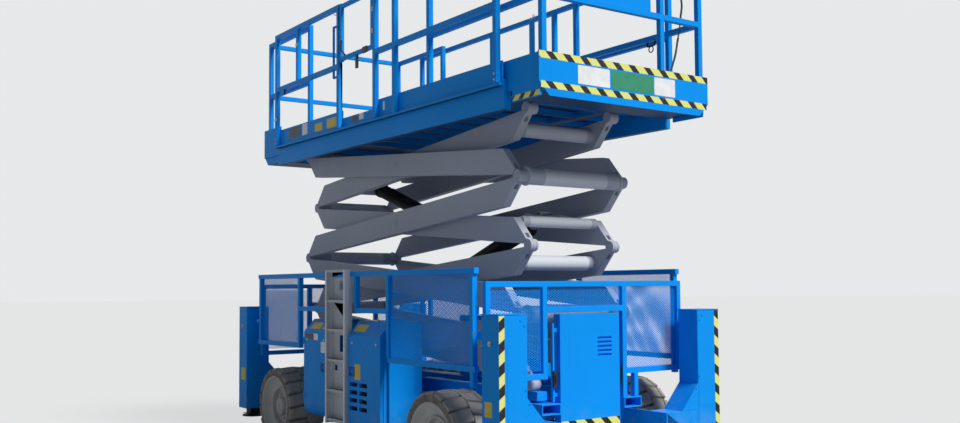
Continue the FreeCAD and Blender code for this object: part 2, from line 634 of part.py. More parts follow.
def running_gear():
    shape = tyre()
    for end, end_name in ((1, "front"), (-1, "rear")):
        x = end * HALF_WHEELBASE
        axle = []
        for side, side_name in ((1, "left"), (-1, "right")):
            disc_y = wheel(x, side, end_name, side_name, shape)
            spindle = [cyl_y(x, TYRE_R, SPINDLE_R, side * (KING_PIN_Y + 40), disc_y + side * 44),
                       cyl_y(x, TYRE_R, 85, disc_y - side * 46, disc_y - side * 60),
                       cyl_y(x, TYRE_R, 60, side * (KING_PIN_Y + 40), disc_y - side * 50)]
            if end > 0:
                barrel = KING_EAR_Z - SEAT_GAP
                knuckle = fuse(spindle + [
                    cyl_z(x, side * KING_PIN_Y, 34, TYRE_R - barrel, TYRE_R + barrel),
                    box(x - 40, x + 40, side * (KING_PIN_Y + 20), side * (KING_PIN_Y + 50),
                        TYRE_R - KING_EAR_Z + MOVE_GAP, TYRE_R + KING_EAR_Z - MOVE_GAP)])
                bore = cyl_z(x, side * KING_PIN_Y, KING_PIN_R + RUN_CLEAR, TYRE_R - barrel, TYRE_R + barrel)
                node(f"steering_knuckle_{side_name}", knuckle.cut(bore))
                ear_end = KING_EAR_Z + KING_EAR_T
                for z0, z1 in ((-ear_end, -KING_EAR_Z), (KING_EAR_Z, ear_end)):
                    axle.append(box(x - 45, x + 45, side * (KING_PIN_Y - 90), side * (KING_PIN_Y + 45),
                                    TYRE_R + z0, TYRE_R + z1))
                axle.append(box(x - 45, x + 45, side * (KING_PIN_Y - 100), side * (KING_PIN_Y - 70),
                                TYRE_R - ear_end, TYRE_R + ear_end))
                axle.append(cyl_z(x, side * KING_PIN_Y, KING_PIN_R, TYRE_R - ear_end, TYRE_R + ear_end))
            else:
                axle += spindle
                axle.append(cyl_y(x, TYRE_R, AXLE_R, side * 100, side * (KING_PIN_Y + 60)))
        if end > 0:
            axle.append(cyl_y(x, TYRE_R, AXLE_R, -KING_PIN_Y + 75, KING_PIN_Y - 75))
        axle.append(cyl_y(x, TYRE_R, DIFFERENTIAL_R, -40, 40))
        for side in SIDES:
            axle.append(Part.makeCone(DIFFERENTIAL_R, AXLE_R, 70, Vec(x, side * 40, TYRE_R), Vec(0, side, 0)))
        node(f"{end_name}_axle", *axle)


def cage():
    """Square-tube frames on the four sides of the chassis, and the mesh in their bays."""
    tube = CAGE_TUBE
    side_posts = ((-CAGE_X + tube, CAGE_LOW_Z), (CAGE_BACK_X, CAGE_LOW_Z), (CAGE_LADDER_X, CAGE_MID_Z),
                  (CAGE_POST_X, CAGE_LOW_Z), (CAGE_X - tube, CAGE_TAIL_Z))
    rails = ((-CAGE_X, CAGE_X, CAGE_SIDE_TOP_Z), (-CAGE_X, CAGE_BACK_X, CAGE_LOW_Z + tube),
             (CAGE_BACK_X, LADDER_REAR_X, CAGE_MID_Z), (CAGE_LADDER_X, CAGE_POST_X, CAGE_MID_Z),
             (CAGE_POST_X, CAGE_X, CAGE_LOW_Z))
    side = [rail_x(x0, x1, CAGE_Y - tube / 2, top, tube) for x0, x1, top in rails]
    tie_top = TIE_LOW_Z + 60
    for s in ENDS:
        side.append(box(s * (CAGE_X - tube), s * (CAGE_X + tube / 2), CAGE_END_Y - 10, CAGE_Y - tube, TIE_LOW_Z, tie_top))
        side.append(box(s * (CAGE_X - tube), s * (CAGE_X - tube / 2), CAGE_Y - tube - 1, CAGE_Y - 10, TIE_LOW_Z, tie_top))
    side += [post(x, CAGE_Y - tube / 2, z, CAGE_SIDE_TOP_Z, tube) for x, z in side_posts]
    side = fuse(side)
    NODES["cage_sides"] = Part.makeCompound([side, mirrored_y(side)])
    NODES["cage_ends"] = Part.makeCompound([end_frame(POCKET_LOW_Z + POCKET_HEIGHT),
                                            mirrored_x(end_frame(BEAM_TOP_Z))])
    cage_mesh()


def end_frame(foot_z):
    """The frame across the front end; its far post and stub stand on the beam or on what covers it."""
    tube, end_y = CAGE_TUBE, CAGE_END_Y
    x = CAGE_X + tube
    near_y, far_y = NEAR_END_POST_Y, FAR_END_POST_Y
    pieces = [rail_y(x, -end_y, end_y, CAGE_END_TOP_Z, tube), rail_y(x, near_y, far_y, END_MID_Z, tube),
              rail_y(x, -end_y, near_y, END_LOW_Z, tube), rail_y(x, far_y, end_y, END_LOW_Z, tube),
              post(x, near_y, END_LOW_Z - tube, CAGE_END_TOP_Z, tube), post(x, far_y, foot_z, CAGE_END_TOP_Z, tube),
              post(x, END_STUB_Y, foot_z, END_LOW_Z, tube)]
    for s in SIDES:
        pieces.append(post(x, s * (end_y - tube / 2), END_LOW_Z - tube, CAGE_END_TOP_Z, tube))
        pieces.append(box(CAGE_X + tube / 2, END_X - HOUSING_LENGTH, s * (end_y - tube), s * end_y,
                          TIE_LOW_Z, TIE_LOW_Z + 60))
    return fuse(pieces)


def mesh_panel(wide, tall):
    """A sheet with a plain grid of openings, lying in the XZ plane from the origin."""
    sheet = box(0, wide, 0, MESH_T, 0, tall)
    columns, rows = max(1, round(wide / MESH_PITCH)), max(1, round(tall / MESH_PITCH))
    cell_x, cell_z = (wide - MESH_BAR) / columns, (tall - MESH_BAR) / rows
    holes = [box(MESH_BAR + i * cell_x, (i + 1) * cell_x, -1, MESH_T + 1, MESH_BAR + j * cell_z, (j + 1) * cell_z)
             for i in range(columns) for j in range(rows)]
    return sheet.cut(Part.makeCompound(holes))


def cage_mesh():
    """Openwork sheets: two on each side and three across each end."""
    tube = CAGE_TUBE
    inner = CAGE_X - 1.5 * tube
    # along the side: rear edge, front edge, lower edge
    side_bays = ((-inner, CAGE_BACK_X - tube / 2, CAGE_LOW_Z + tube), (CAGE_POST_X + tube / 2, inner, CAGE_LOW_Z))
    sheets = []
    for x0, x1, z0 in side_bays:
        panel = mesh_panel(x1 - x0, CAGE_SIDE_TOP_Z - tube - z0)
        sheets.append(panel.translated(Vec(x0, CAGE_Y - tube / 2 - MESH_T, z0)))
    sheets += [mirrored_y(s) for s in sheets]
    # across the end: right edge, left edge, lower edge
    near_y, far_y, half = NEAR_END_POST_Y, FAR_END_POST_Y, tube / 2
    end_bays = ((-CAGE_END_Y + tube, near_y - half, END_LOW_Z), (near_y + half, far_y - half, END_MID_Z),
                (far_y + half, CAGE_END_Y - tube, END_LOW_Z))
    for y0, y1, z0 in end_bays:
        panel = mesh_panel(y1 - y0, CAGE_END_TOP_Z - tube - z0)
        panel.rotate(Vec(0, 0, 0), Vec(0, 0, 1), 90)
        panel = panel.translated(Vec(CAGE_X + tube, y0, z0))
        sheets += [panel, mirrored_x(panel)]
    NODES["cage_mesh"] = Part.makeCompound(sheets)


def bay_profile(inset, side, radius):
    """The bay's end profile in YZ: its top sloped down to the outer face, its lower outer edge rounded."""
    out_y, top, low = BAY_OUT_Y - inset, BAY_TOP_Z - inset, BAY_LOW_Z + inset
    bend = radius - inset
    turns = [math.radians(a) for a in (0, 22.5, 45, 67.5, 90)]
    foot = [(side * (out_y - bend + bend * math.sin(a)), low + bend - bend * math.cos(a)) for a in turns]
    return [(side * BAY_IN_Y, low), *foot, (side * out_y, BAY_SLOPE_Z), (side * (out_y - BAY_SLOPE_Y), top),
            (side * BAY_IN_Y, top)]


def bays():
    shells, braces = [], []
    for name, x0, x1, side, hinge_end, radius in BAYS:
        outer = plate_x(bay_profile(0, side, radius), x0, x1)
        hollow = plate_x(bay_profile(BAY_WALL, side, radius), x0 + BAY_WALL, x1 - BAY_WALL)
        door_low = BAY_LOW_Z + radius
        face = box(x0 - 1, x1 + 1, side * (BAY_OUT_Y - DOOR_T - MOVE_GAP), side * (BAY_OUT_Y + 1),
                   door_low - SEAT_GAP, BAY_SLOPE_Z)
        back = box(x0 - 1, x1 + 1, side * (BAY_IN_Y - 1), side * (BAY_IN_Y + BAY_WALL), BAY_LOW_Z, BAY_TOP_Z)
        shells.append(outer.cut(hollow).cut(face).fuse(outer.common(back)).removeSplitter())
        bay_door(name, x0, x1, side, hinge_end, door_low)
        braces.append(box(x0 + 40, x1 - 40, side * BEAM_OUT_Y, side * BAY_IN_Y, BEAM_LOW_Z + 40, BEAM_TOP_Z - 40))
    NODES["bay_housings"] = Part.makeCompound(shells)
    NODES["bay_brackets"] = Part.makeCompound(braces)
    engine_x = BAYS[1][1] + 60, BAYS[1][2] - 60
    node("engine_block", box(*engine_x, 60 - BAY_OUT_Y, -BAY_IN_Y - 40, BAY_LOW_Z + BAY_WALL, BAY_SLOPE_Z - 90))


def bay_door(name, x0, x1, side, hinge_end, low):
    """A thick door with its latch recess, its hinge barrels and, on the engine bay, its vents."""
    out_y = side * BAY_OUT_Y
    door = box(x0, x1, side * (BAY_OUT_Y - DOOR_T), out_y, low, BAY_SLOPE_Z - SEAT_GAP)
    latch_x = (x1 if hinge_end < 0 else x0) + hinge_end * LATCH_IN
    door = door.cut(box(latch_x - 45, latch_x + 45, out_y - side * 16, out_y + side, LATCH_Z - 32, LATCH_Z + 32))
    paddle = box(latch_x - 30, latch_x + 30, out_y - side * 17, out_y - side * 6, LATCH_Z - 18, LATCH_Z + 18)
    if name == "engine_bay":
        for column in range(2):
            for row in range(4):
                x, z = x0 + 25 + column * VENT_PITCH_X, VENT_LOW_Z + row * VENT_PITCH_Z
                door = door.cut(box(x, x + VENT_WIDTH, out_y + side, out_y - side * (DOOR_T + 1), z, z + VENT_HEIGHT))
    hinge_x = x0 if hinge_end < 0 else x1
    barrels = [cyl_z(hinge_x, out_y, HINGE_R, z, z + HINGE_LENGTH)
               for z in (low + HINGE_LENGTH, BAY_SLOPE_Z - 2 * HINGE_LENGTH)]
    node(f"{name}_door", door, paddle, *barrels)


def ladder():
    """Two flanged stiles, the rungs between them and a back plate with holes, cut round the cage's rail."""
    x0, x1 = LADDER_REAR_X, LADDER_FRONT_X
    out_y, back_y = -LADDER_OUT_Y, LADDER_DEPTH - LADDER_OUT_Y
    pieces = []
    for edge, way in ((x0, 1), (x1, -1)):
        pieces.append(box(edge, edge + way * LADDER_FLANGE, out_y, back_y, LADDER_LOW_Z, LADDER_TOP_Z))
        pieces.append(box(edge, edge + way * 30, back_y - 20, back_y, LADDER_LOW_Z, LADDER_TOP_Z))
    rung_tops = [398, 664, 939, 1215, 1480, LADDER_TOP_Z]
    pieces += [box(x0, x1, out_y + 8, back_y, top - 24, top) for top in rung_tops]
    plate = box(x0, x1, back_y, back_y + LADDER_PLATE, LADDER_LOW_Z, LADDER_TOP_Z)
    for share, z, wide, tall in LADDER_HOLES:
        x = x0 + share * (x1 - x0)
        plate = plate.cut(box(x - wide / 2, x + wide / 2, back_y - 1, back_y + LADDER_PLATE + 1, z - tall / 2, z + tall / 2))
    stay = box(x0, x1, back_y + LADDER_PLATE, -BEAM_OUT_Y, BEAM_LOW_Z + 60, BEAM_TOP_Z - 60)
    NODES["ladder"] = fuse([*pieces, plate, stay]).cut(NODES["cage_sides"])


def front_fittings():
    """The box on the front frame, the bulkheads beside the bays and the fork pockets."""
    body = box(FRONT_BOX_IN_X, FRONT_BOX_OUT_X, -FRONT_BOX_Y, FRONT_BOX_Y, FRONT_BOX_LOW_Z, FRONT_BOX_TOP_Z)
    for row in range(SLOT_ROWS):
        z = FRONT_BOX_TOP_Z - 340 + row * SLOT_PITCH
        body = body.cut(box(FRONT_BOX_OUT_X - 20, FRONT_BOX_OUT_X + 1, FRONT_BOX_Y / 4, 0.72 * FRONT_BOX_Y, z, z + 16))
    bar_y, bar_low = -FRONT_BOX_Y - 50, POCKET_LOW_Z + POCKET_HEIGHT + MOVE_GAP
    latch = [box(FRONT_BOX_IN_X + 20, FRONT_BOX_IN_X + 45, bar_y, bar_y + 20, bar_low, FRONT_BOX_TOP_Z - 70)]
    for z in (bar_low + 40, FRONT_BOX_TOP_Z - 140):
        latch.append(box(FRONT_BOX_IN_X + 20, FRONT_BOX_IN_X + 45, bar_y + 19, 1 - FRONT_BOX_Y, z, z + 30))
    node("front_box", body, *latch,
         box(BEAM_STEP_X - 60, FRONT_BOX_IN_X + 1, -BEAM_IN_Y, BEAM_IN_Y, FRONT_BOX_LOW_Z, FRONT_BOX_LOW_Z + 30))
    pockets = []
    for s in SIDES:
        tube = box(BEAM_STEP_X, POCKET_OUT_X, s * POCKET_IN_Y, s * (POCKET_IN_Y + POCKET_WIDTH),
                   POCKET_LOW_Z, POCKET_LOW_Z + POCKET_HEIGHT)
        hole = box(BEAM_STEP_X + POCKET_WALL, POCKET_OUT_X + 1, s * (POCKET_IN_Y + POCKET_WALL),
                   s * (POCKET_IN_Y + POCKET_WIDTH - POCKET_WALL), POCKET_LOW_Z + POCKET_WALL,
                   POCKET_LOW_Z + POCKET_HEIGHT - POCKET_WALL)
        pockets.append(tube.cut(hole))
    bulkheads = []
    for s in SIDES:
        outline = [(s * 1050, 430), (s * 802, 430), (s * 802, 1081), (s * 862, 1126), (s * 882, 1316), (s * 1050, 1326)]
        x1 = CAGE_POST_X - CAGE_TUBE / 2
        x0 = x1 - BULKHEAD_T
        bulkheads.append(plate_x(outline, x0, x1))
        bulkheads.append(box(x0, x1, s * BEAM_OUT_Y, s * 803, BEAM_LOW_Z + 40, BEAM_TOP_Z - 40))
    NODES["fork_pockets"] = Part.makeCompound(pockets)
    NODES["bulkheads"] = Part.makeCompound([fuse(bulkheads[:2]), fuse(bulkheads[2:])])


def platform():
    floor_low = DECK_Z - DECK_T
    tread_y = EXT_RAIL_Y - 4 * TREAD_GAP
    pieces = [box(DECK_REAR_X, DECK_FRONT_X, -TOE_Y, TOE_Y, floor_low, DECK_Z),
              box(REAR_TAIL_X + TREAD_GAP, EXT_TAIL_X - TREAD_GAP, -tread_y, tread_y, floor_low, DECK_Z + TREAD_T)]
    for s in SIDES:
        side = [(s * DECK_Y, LEDGE_Z), (s * DECK_Y, LEDGE_Z - 22), (s * (DECK_Y - 45), LEDGE_Z - 22),
                (s * (DECK_Y - 45), SIDE_LOW_Z), (s * (DECK_Y - 110), SIDE_LOW_Z), (s * (DECK_Y - 110), LEDGE_Z)]
        pieces.append(plate_x(side, DECK_REAR_X, DECK_FRONT_X))
        y0, y1 = s * TOE_Y, s * (TOE_Y - TOE_T)
        if s < 0:
            pieces.append(box(DECK_REAR_X, GATE_REAR_X, y0, y1, floor_low, TOE_TOP_Z))
            pieces.append(box(GATE_REAR_X, GATE_FRONT_X, y0, y1, floor_low, GATE_SILL_Z))
            pieces.append(box(GATE_FRONT_X, DECK_FRONT_X, y0, y1, floor_low, TOE_TOP_Z))
        else:
            pieces.append(box(DECK_REAR_X, DECK_FRONT_X, y0, y1, floor_low, TOE_TOP_Z))
        y_mid = INNER_ARM_Y + ARM_WIDTH / 2
        roller = ROLLER_WIDTH / 2
        pieces.append(box(TRACK_REAR_X, TRACK_FRONT_X, s * (y_mid - roller), s * (y_mid + roller),
                          TOP_PIN_Z + BOSS_R + SEAT_GAP, floor_low + 1))
        tongue_mid = OUTER_ARM_Y + ARM_WIDTH / 2
        tongue = (s * (tongue_mid - TONGUE / 2), s * (tongue_mid + TONGUE / 2))
        pin = (REAR_PIN_X, TOP_PIN_Z)
        spread = BOSS_R + 20
        hanger = [(pin[0] - BOSS_R, pin[1]), (pin[0] + BOSS_R, pin[1]), (pin[0] + spread, floor_low + 1),
                  (pin[0] - spread, floor_low + 1)]
        lug = fuse([plate_y(hanger, *tongue), cyl_y(*pin, BOSS_R, *tongue)])
        pieces.append(lug.cut(cyl_y(*pin, PIN_R + RUN_CLEAR, *tongue)))
    rib_y, rib_low = DECK_Y - 100, TOP_PIN_Z + BOSS_R + MOVE_GAP
    first = REAR_PIN_X + 145
    # the second place stays free for the eye of the upper lift cylinder
    for k in (0, *range(2, int((DECK_FRONT_X - 80 - first) / RIB_PITCH) + 1)):
        x = first + k * RIB_PITCH
        pieces.append(box(x - RIB_WIDTH / 2, x + RIB_WIDTH / 2, -rib_y, rib_y, rib_low, floor_low + 1))
    pieces.append(box(DECK_FRONT_X - 2 * RIB_WIDTH, DECK_FRONT_X, -rib_y, rib_y, rib_low, floor_low + 1))
    node("platform_deck", *pieces)
    platform_rails()


def platform_rails():
    """Posts, mid rails and top rails on both sides, and the gate's pivot ears."""
    tube = RAIL_TUBE
    y = TOE_Y + tube / 2
    near_posts = (REAR_POST_X, GATE_REAR_X - tube / 2, GATE_FRONT_X + tube / 2, NEAR_POST_X, FRONT_POST_X)
    rear, front = REAR_POST_X - tube / 2, FRONT_POST_X + tube / 2
    rails = []
    for s in SIDES:
        for x in (near_posts if s < 0 else (REAR_POST_X, *FAR_POSTS_X, FRONT_POST_X)):
            rails.append(post(x, s * y, LEDGE_Z, TOP_RAIL_Z, tube))
        spans = ((rear, GATE_REAR_X), (GATE_FRONT_X, front)) if s < 0 else ((rear, front),)
        for x0, x1 in spans:
            for top in (MID_RAIL_Z, TOP_RAIL_Z):
                rails.append(rail_x(x0, x1, s * y, top, tube))
    rails.append(post(HALF_POST_X, -y, MID_RAIL_Z - tube, TOP_RAIL_Z, tube))
    for z0 in (GATE_LOW_Z - GATE_TUBE - SEAT_GAP - GATE_HINGE_T, TOP_RAIL_Z - GATE_DROP + SEAT_GAP):
        ear = box(GATE_REAR_X - 1, GATE_REAR_X + GATE_GAP + GATE_TUBE, -y - GATE_TUBE / 2, -y + GATE_TUBE / 2,
                  z0, z0 + GATE_HINGE_T)
        rails.append(ear.cut(cyl_z(GATE_REAR_X + GATE_GAP + GATE_TUBE / 2, -y, GATE_PIN_R + RUN_CLEAR,
                                   z0 - 1, z0 + GATE_HINGE_T + 1)))
    near = fuse([r for r in rails if r.BoundBox.YMax < 0])
    far = fuse([r for r in rails if r.BoundBox.YMin > 0])
    NODES["platform_rails"] = Part.makeCompound([near, far])


def gate():
    tube = GATE_TUBE
    y = -(TOE_Y + RAIL_TUBE / 2)
    x0, x1 = GATE_REAR_X + GATE_GAP, GATE_FRONT_X - GATE_GAP
    low, high = GATE_LOW_Z, TOP_RAIL_Z - GATE_DROP
    node("entry_gate", post(x0 + tube / 2, y, low - tube, high, tube), post(x1 - tube / 2, y, low - tube, high, tube),
         rail_x(x0, x1, y, low, tube), rail_x(x0, x1, y, high, tube),
         cyl_z(x0 + tube / 2, y, GATE_PIN_R, low - tube - GATE_HINGE_T, low),
         cyl_z(x0 + tube / 2, y, GATE_PIN_R, high - tube, high + GATE_HINGE_T))


def front_extension():
    floor = DECK_Z + MOVE_GAP
    x_plate, x_in = EXT_END_X - EXT_PLATE_T, DECK_FRONT_X + MOVE_GAP
    top = floor + EXT_FLOOR_T
    corner_y = EXT_Y - EXT_CORNER_Y
    plate = [(-EXT_Y, TOE_TOP_Z), (-EXT_Y, EXT_CORNER_Z), (-corner_y, EXT_LOW_Z), (corner_y, EXT_LOW_Z),
             (EXT_Y, EXT_CORNER_Z), (EXT_Y, TOE_TOP_Z)]
    pieces = [plate_x(plate, x_plate, EXT_END_X),
              box(EXT_TAIL_X, x_plate, -EXT_RAIL_Y, EXT_RAIL_Y, floor, top),
              box(x_in, x_plate, -EXT_RAIL_Y, EXT_RAIL_Y, EXT_SHELF_Z, EXT_SHELF_Z + EXT_FLOOR_T),
              box(x_in, x_in + EXT_FLOOR_T, -EXT_RAIL_Y, EXT_RAIL_Y, EXT_SHELF_Z, floor + 1)]
    for s in SIDES:
        toe_y = s * EXT_RAIL_Y, s * (EXT_RAIL_Y + EXT_PLATE_T)
        pieces.append(box(x_in, x_plate, *toe_y, EXT_CHEEK_Z, TOE_TOP_Z))
        pieces.append(box(EXT_TAIL_X, x_plate, *toe_y, floor, TOE_TOP_Z))
        pieces.append(box(EXT_TAIL_X, EXT_TAIL_X + TAIL_POST_IN, s * (EXT_RAIL_Y - 90), s * (EXT_RAIL_Y - 30),
                          DECK_Z + SEAT_GAP, floor + 1))
    route = cable_route()
    pieces.append(cyl_z(route[-1][0], route[-1][1], GLAND_R, top - 1, route[-1][2]))
    node("front_extension_deck", *pieces)
    end_x = x_plate - RAIL_TUBE / 2
    rails = extension_rails(EXT_TAIL_X + TAIL_POST_IN, end_x, top)
    rails.append(post(end_x, EXT_RAIL_Y - 459, top, TOP_RAIL_Z, RAIL_TUBE))
    rails.append(box(end_x - 3, end_x + 3, -290, 280, MID_RAIL_Z - 1, TOP_RAIL_Z - RAIL_TUBE + 1))
    node("front_extension_rails", *rails)
    control_box(end_x - RAIL_TUBE / 2, end_x + RAIL_TUBE / 2)


def extension_rails(tail_x, end_x, foot_z):
    """Posts at the tail and the end of both sides, side rails between them and rails across the end."""
    tube = RAIL_TUBE
    y = EXT_RAIL_Y - tube / 2
    rails = []
    for top in (MID_RAIL_Z, TOP_RAIL_Z):
        rails.append(rail_y(end_x, -y, y, top, tube))
        rails += [rail_x(min(tail_x, end_x), max(tail_x, end_x), s * y, top, tube) for s in SIDES]
    rails += [post(x, s * y, foot_z, TOP_RAIL_Z, tube) for x in (tail_x, end_x) for s in SIDES]
    return rails


def cable_route():
    """The cable's points from the gland under the control box down to the gland on the deck."""
    low = DECK_Z + MOVE_GAP + EXT_FLOOR_T + CABLE_FOOT_RISE
    drop = CONTROL_Z[0] - GLAND_DROP - low
    return [(CABLE_X + dx, CABLE_Y + dy, low + share * drop) for dx, dy, share in CABLE_SHAPE]


def control_box(rail_in, rail_out):
    """The box hooked over the end rail, the gland under it and the cable that hangs from it."""
    back = rail_in - SEAT_GAP
    hook_in, hook_out, hook_low = back - CONTROL_DEPTH / 2, rail_out + SEAT_GAP, TOP_RAIL_Z + SEAT_GAP
    hook = [(hook_in, CONTROL_Z[1]), (back, CONTROL_Z[1]), (back, hook_low), (hook_out, hook_low),
            (hook_out, hook_low - 40), (hook_out + HOOK_T, hook_low - 40), (hook_out + HOOK_T, hook_low + HOOK_T),
            (hook_in, hook_low + HOOK_T)]
    route = cable_route()
    start = route[0]
    node("control_box", box(back - CONTROL_DEPTH, back, *CONTROL_Y, *CONTROL_Z),
         plate_y(hook, CONTROL_Y[0] + 60, CONTROL_Y[1] - 60),
         cyl_z(start[0], start[1], GLAND_R, start[2], CONTROL_Z[0] + 1))
    node("control_cable", cable_tube(route, CABLE_R))


def cable_tube(route, radius):
    """A round cable on straight runs joined by tangent arcs, each as large as its two runs allow."""
    points = [Vec(*p) for p in route]
    path, start, smallest = [], points[0], math.inf
    for before, corner, after in zip(points, points[1:], points[2:]):
        run_in, run_out = corner - before, after - corner
        way_in, way_out = Vec(run_in).normalize(), Vec(run_out).normalize()
        half_turn = way_in.getAngle(way_out) / 2
        reach = 0.45 * min(run_in.Length, run_out.Length)
        arc_r = reach / math.tan(half_turn)
        smallest = min(smallest, arc_r)
        inward = (way_out - way_in).normalize()
        enter, leave = corner - way_in * reach, corner + way_out * reach
        top = corner + inward * (arc_r / math.cos(half_turn) - arc_r)
        path += [Part.LineSegment(start, enter).toShape(), Part.Arc(enter, top, leave).toShape()]
        start = leave
    path.append(Part.LineSegment(start, points[-1]).toShape())
    wire = Part.Wire(path)
    ring = Part.Wire([Part.Circle(points[0], points[1] - points[0], radius).toShape()])
    tube = wire.makePipeShell([ring], True, True)
    print("cable length", round(wire.Length), "smallest radius", round(smallest), "volume ratio",
          round(tube.Volume / (math.pi * radius ** 2 * wire.Length), 4))
    return tube


def rear_extension():
    floor = DECK_Z + MOVE_GAP
    x_end, x_in = REAR_EXT_X, DECK_REAR_X - MOVE_GAP
    low, top = EXT_LOW_Z - MOVE_GAP, floor + EXT_FLOOR_T
    outline = [(x_end, REAR_BOX_TOP_Z), (x_end, REAR_CORNER_Z), (x_end + REAR_CORNER_X, low), (x_in, low),
               (x_in, floor), (REAR_TAIL_X, floor), (REAR_TAIL_X, top), (x_end + EXT_PLATE_T, top),
               (x_end + EXT_PLATE_T, REAR_BOX_TOP_Z)]
    pieces = [plate_y(outline, -EXT_RAIL_Y, EXT_RAIL_Y)]
    for s in SIDES:
        pieces.append(box(x_end, x_in, s * EXT_RAIL_Y, s * (EXT_RAIL_Y + EXT_PLATE_T), REAR_CORNER_Z, REAR_BOX_TOP_Z))
        pieces.append(box(REAR_TAIL_X - TAIL_POST_IN, REAR_TAIL_X, s * (EXT_RAIL_Y - 90), s * (EXT_RAIL_Y - 30),
                          DECK_Z + SEAT_GAP, floor + 1))
    node("rear_extension_deck", *pieces)
    node("rear_extension_rails", *extension_rails(REAR_TAIL_X - TAIL_POST_IN, REAR_END_POST_X, top))


def export():
    for name, shape in NODES.items():
        moved = shape.translated(Vec(-FRAME_X, 0, 0))
        moved.exportStep(f"parts/{name}.step")


def main():
    os.makedirs("parts", exist_ok=True)
    scissor_arms()
    lift_cylinder("lift_cylinder_low", 2, True)
    lift_cylinder("lift_cylinder_high", 3, False)
    chassis_frame()
    outriggers()
    running_gear()
    cage()
    bays()
    ladder()
    front_fittings()
    platform()
    gate()
    front_extension()
    rear_extension()
    export()


main()
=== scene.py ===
"""Looks of a rough-terrain scissor lift: paint, tyres, mesh, stripes, fittings, cable and stage."""
import json
import math

import bmesh
import bpy
from bpy.props import FloatProperty, FloatVectorProperty, IntProperty, PointerProperty
from mathutils import Matrix, Vector


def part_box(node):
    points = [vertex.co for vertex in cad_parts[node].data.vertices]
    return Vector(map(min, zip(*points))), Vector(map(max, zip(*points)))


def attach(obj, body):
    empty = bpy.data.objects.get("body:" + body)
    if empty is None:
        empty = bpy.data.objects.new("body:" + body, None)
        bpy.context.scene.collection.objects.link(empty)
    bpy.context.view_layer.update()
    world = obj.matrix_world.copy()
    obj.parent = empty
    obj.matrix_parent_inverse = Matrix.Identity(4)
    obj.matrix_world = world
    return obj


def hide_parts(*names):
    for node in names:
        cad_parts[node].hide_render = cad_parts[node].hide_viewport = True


bl_info = {
    "name": "Rough-terrain scissor lift",
    "version": (1, 0, 0),
    "blender": (4, 5, 0),
    "location": "View3D > Sidebar > Scissor Lift",
    "description": "Paint, tyres, mesh, stripes, fittings, cable and stage for the packed scissor lift",
    "category": "Object",
}

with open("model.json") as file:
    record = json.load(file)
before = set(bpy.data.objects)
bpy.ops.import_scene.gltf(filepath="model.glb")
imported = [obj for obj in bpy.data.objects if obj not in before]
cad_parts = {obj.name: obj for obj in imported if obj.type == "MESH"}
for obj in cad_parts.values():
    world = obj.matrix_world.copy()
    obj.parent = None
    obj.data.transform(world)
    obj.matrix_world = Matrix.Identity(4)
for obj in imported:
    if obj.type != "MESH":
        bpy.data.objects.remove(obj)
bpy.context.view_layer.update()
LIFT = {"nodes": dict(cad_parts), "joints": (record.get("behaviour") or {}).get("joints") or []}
ORIGIN_X = 0.076
WHEELS = [(end, side, way) for end in ("rear", "front") for side, way in (("right", -1), ("left", 1))]


# Points, blocks and bars

def spot(x, y, z):
    """A point measured in millimetres from the middle of the chassis."""
    return Vector((x / 1000 - ORIGIN_X, y / 1000, z / 1000))


def pointing(way):
    """The turn that lays Z along a direction."""
    return way.to_track_quat("Z", "Y").to_matrix().to_4x4()


def block(bm, low, high):
    """A block between two corners, given in any order."""
    made = bmesh.ops.create_cube(bm, size=1.0)["verts"]
    size = [abs(b - a) for a, b in zip(low, high)]
    bmesh.ops.scale(bm, vec=size, verts=made)
    bmesh.ops.translate(bm, vec=(low + high) / 2, verts=made)


def bar(bm, start, end, radius, segments=20, end_radius=None):
    """A round bar between two points, or a cone with an end radius."""
    way = end - start
    place = Matrix.Translation((start + end) / 2) @ pointing(way)
    far = radius if end_radius is None else end_radius
    bmesh.ops.create_cone(bm, cap_ends=True, segments=segments, radius1=radius, radius2=far,
                          depth=way.length, matrix=place)


def bars(bm, base, out, rows):
    """Bars in line along one direction, each from a row: from, to, radius, segments and end radius."""
    for start, end, radius, segments, end_radius in rows:
        bar(bm, base + out * start, base + out * end, radius, segments, end_radius)


def bolt(bm, point, out, size):
    """A hexagon head on its washer, standing out of a face; the size is a little over half its width."""
    bars(bm, point, Vector(out) * size, ((0, 0.2, size * 1.15, 16, None), (0.2, 0.85, size * 0.9, 6, None)))


def turned(bm, outline, centre, steps):
    """A ring made by turning a closed outline about an axle that lies along Y."""
    verts = [bm.verts.new(point) for point in outline]
    edges = [bm.edges.new(pair) for pair in zip(verts, verts[1:] + verts[:1])]
    bmesh.ops.spin(bm, geom=verts + edges, cent=centre, axis=(0, 1, 0), angle=2 * math.pi, steps=steps,
                   use_merge=True, use_duplicate=False)


def dome(bm, centre, radius, flatten=1.0):
    """A ball, or a button with flatten below one."""
    made = bmesh.ops.create_uvsphere(bm, u_segments=20, v_segments=12, radius=radius)["verts"]
    bmesh.ops.scale(bm, vec=(1, 1, flatten), verts=made)
    bmesh.ops.translate(bm, vec=centre, verts=made)


def soften(obj, width, segments=2):
    """Rounds the edges and evens the shading."""
    rounding = obj.modifiers.new("edges", "BEVEL")
    rounding.width = width
    rounding.segments = segments
    rounding.limit_method = "ANGLE"
    rounding.angle_limit = math.radians(32)
    rounding.use_clamp_overlap = False
    rounding.harden_normals = True
    even = obj.modifiers.new("shading", "WEIGHTED_NORMAL")
    even.keep_sharp = True


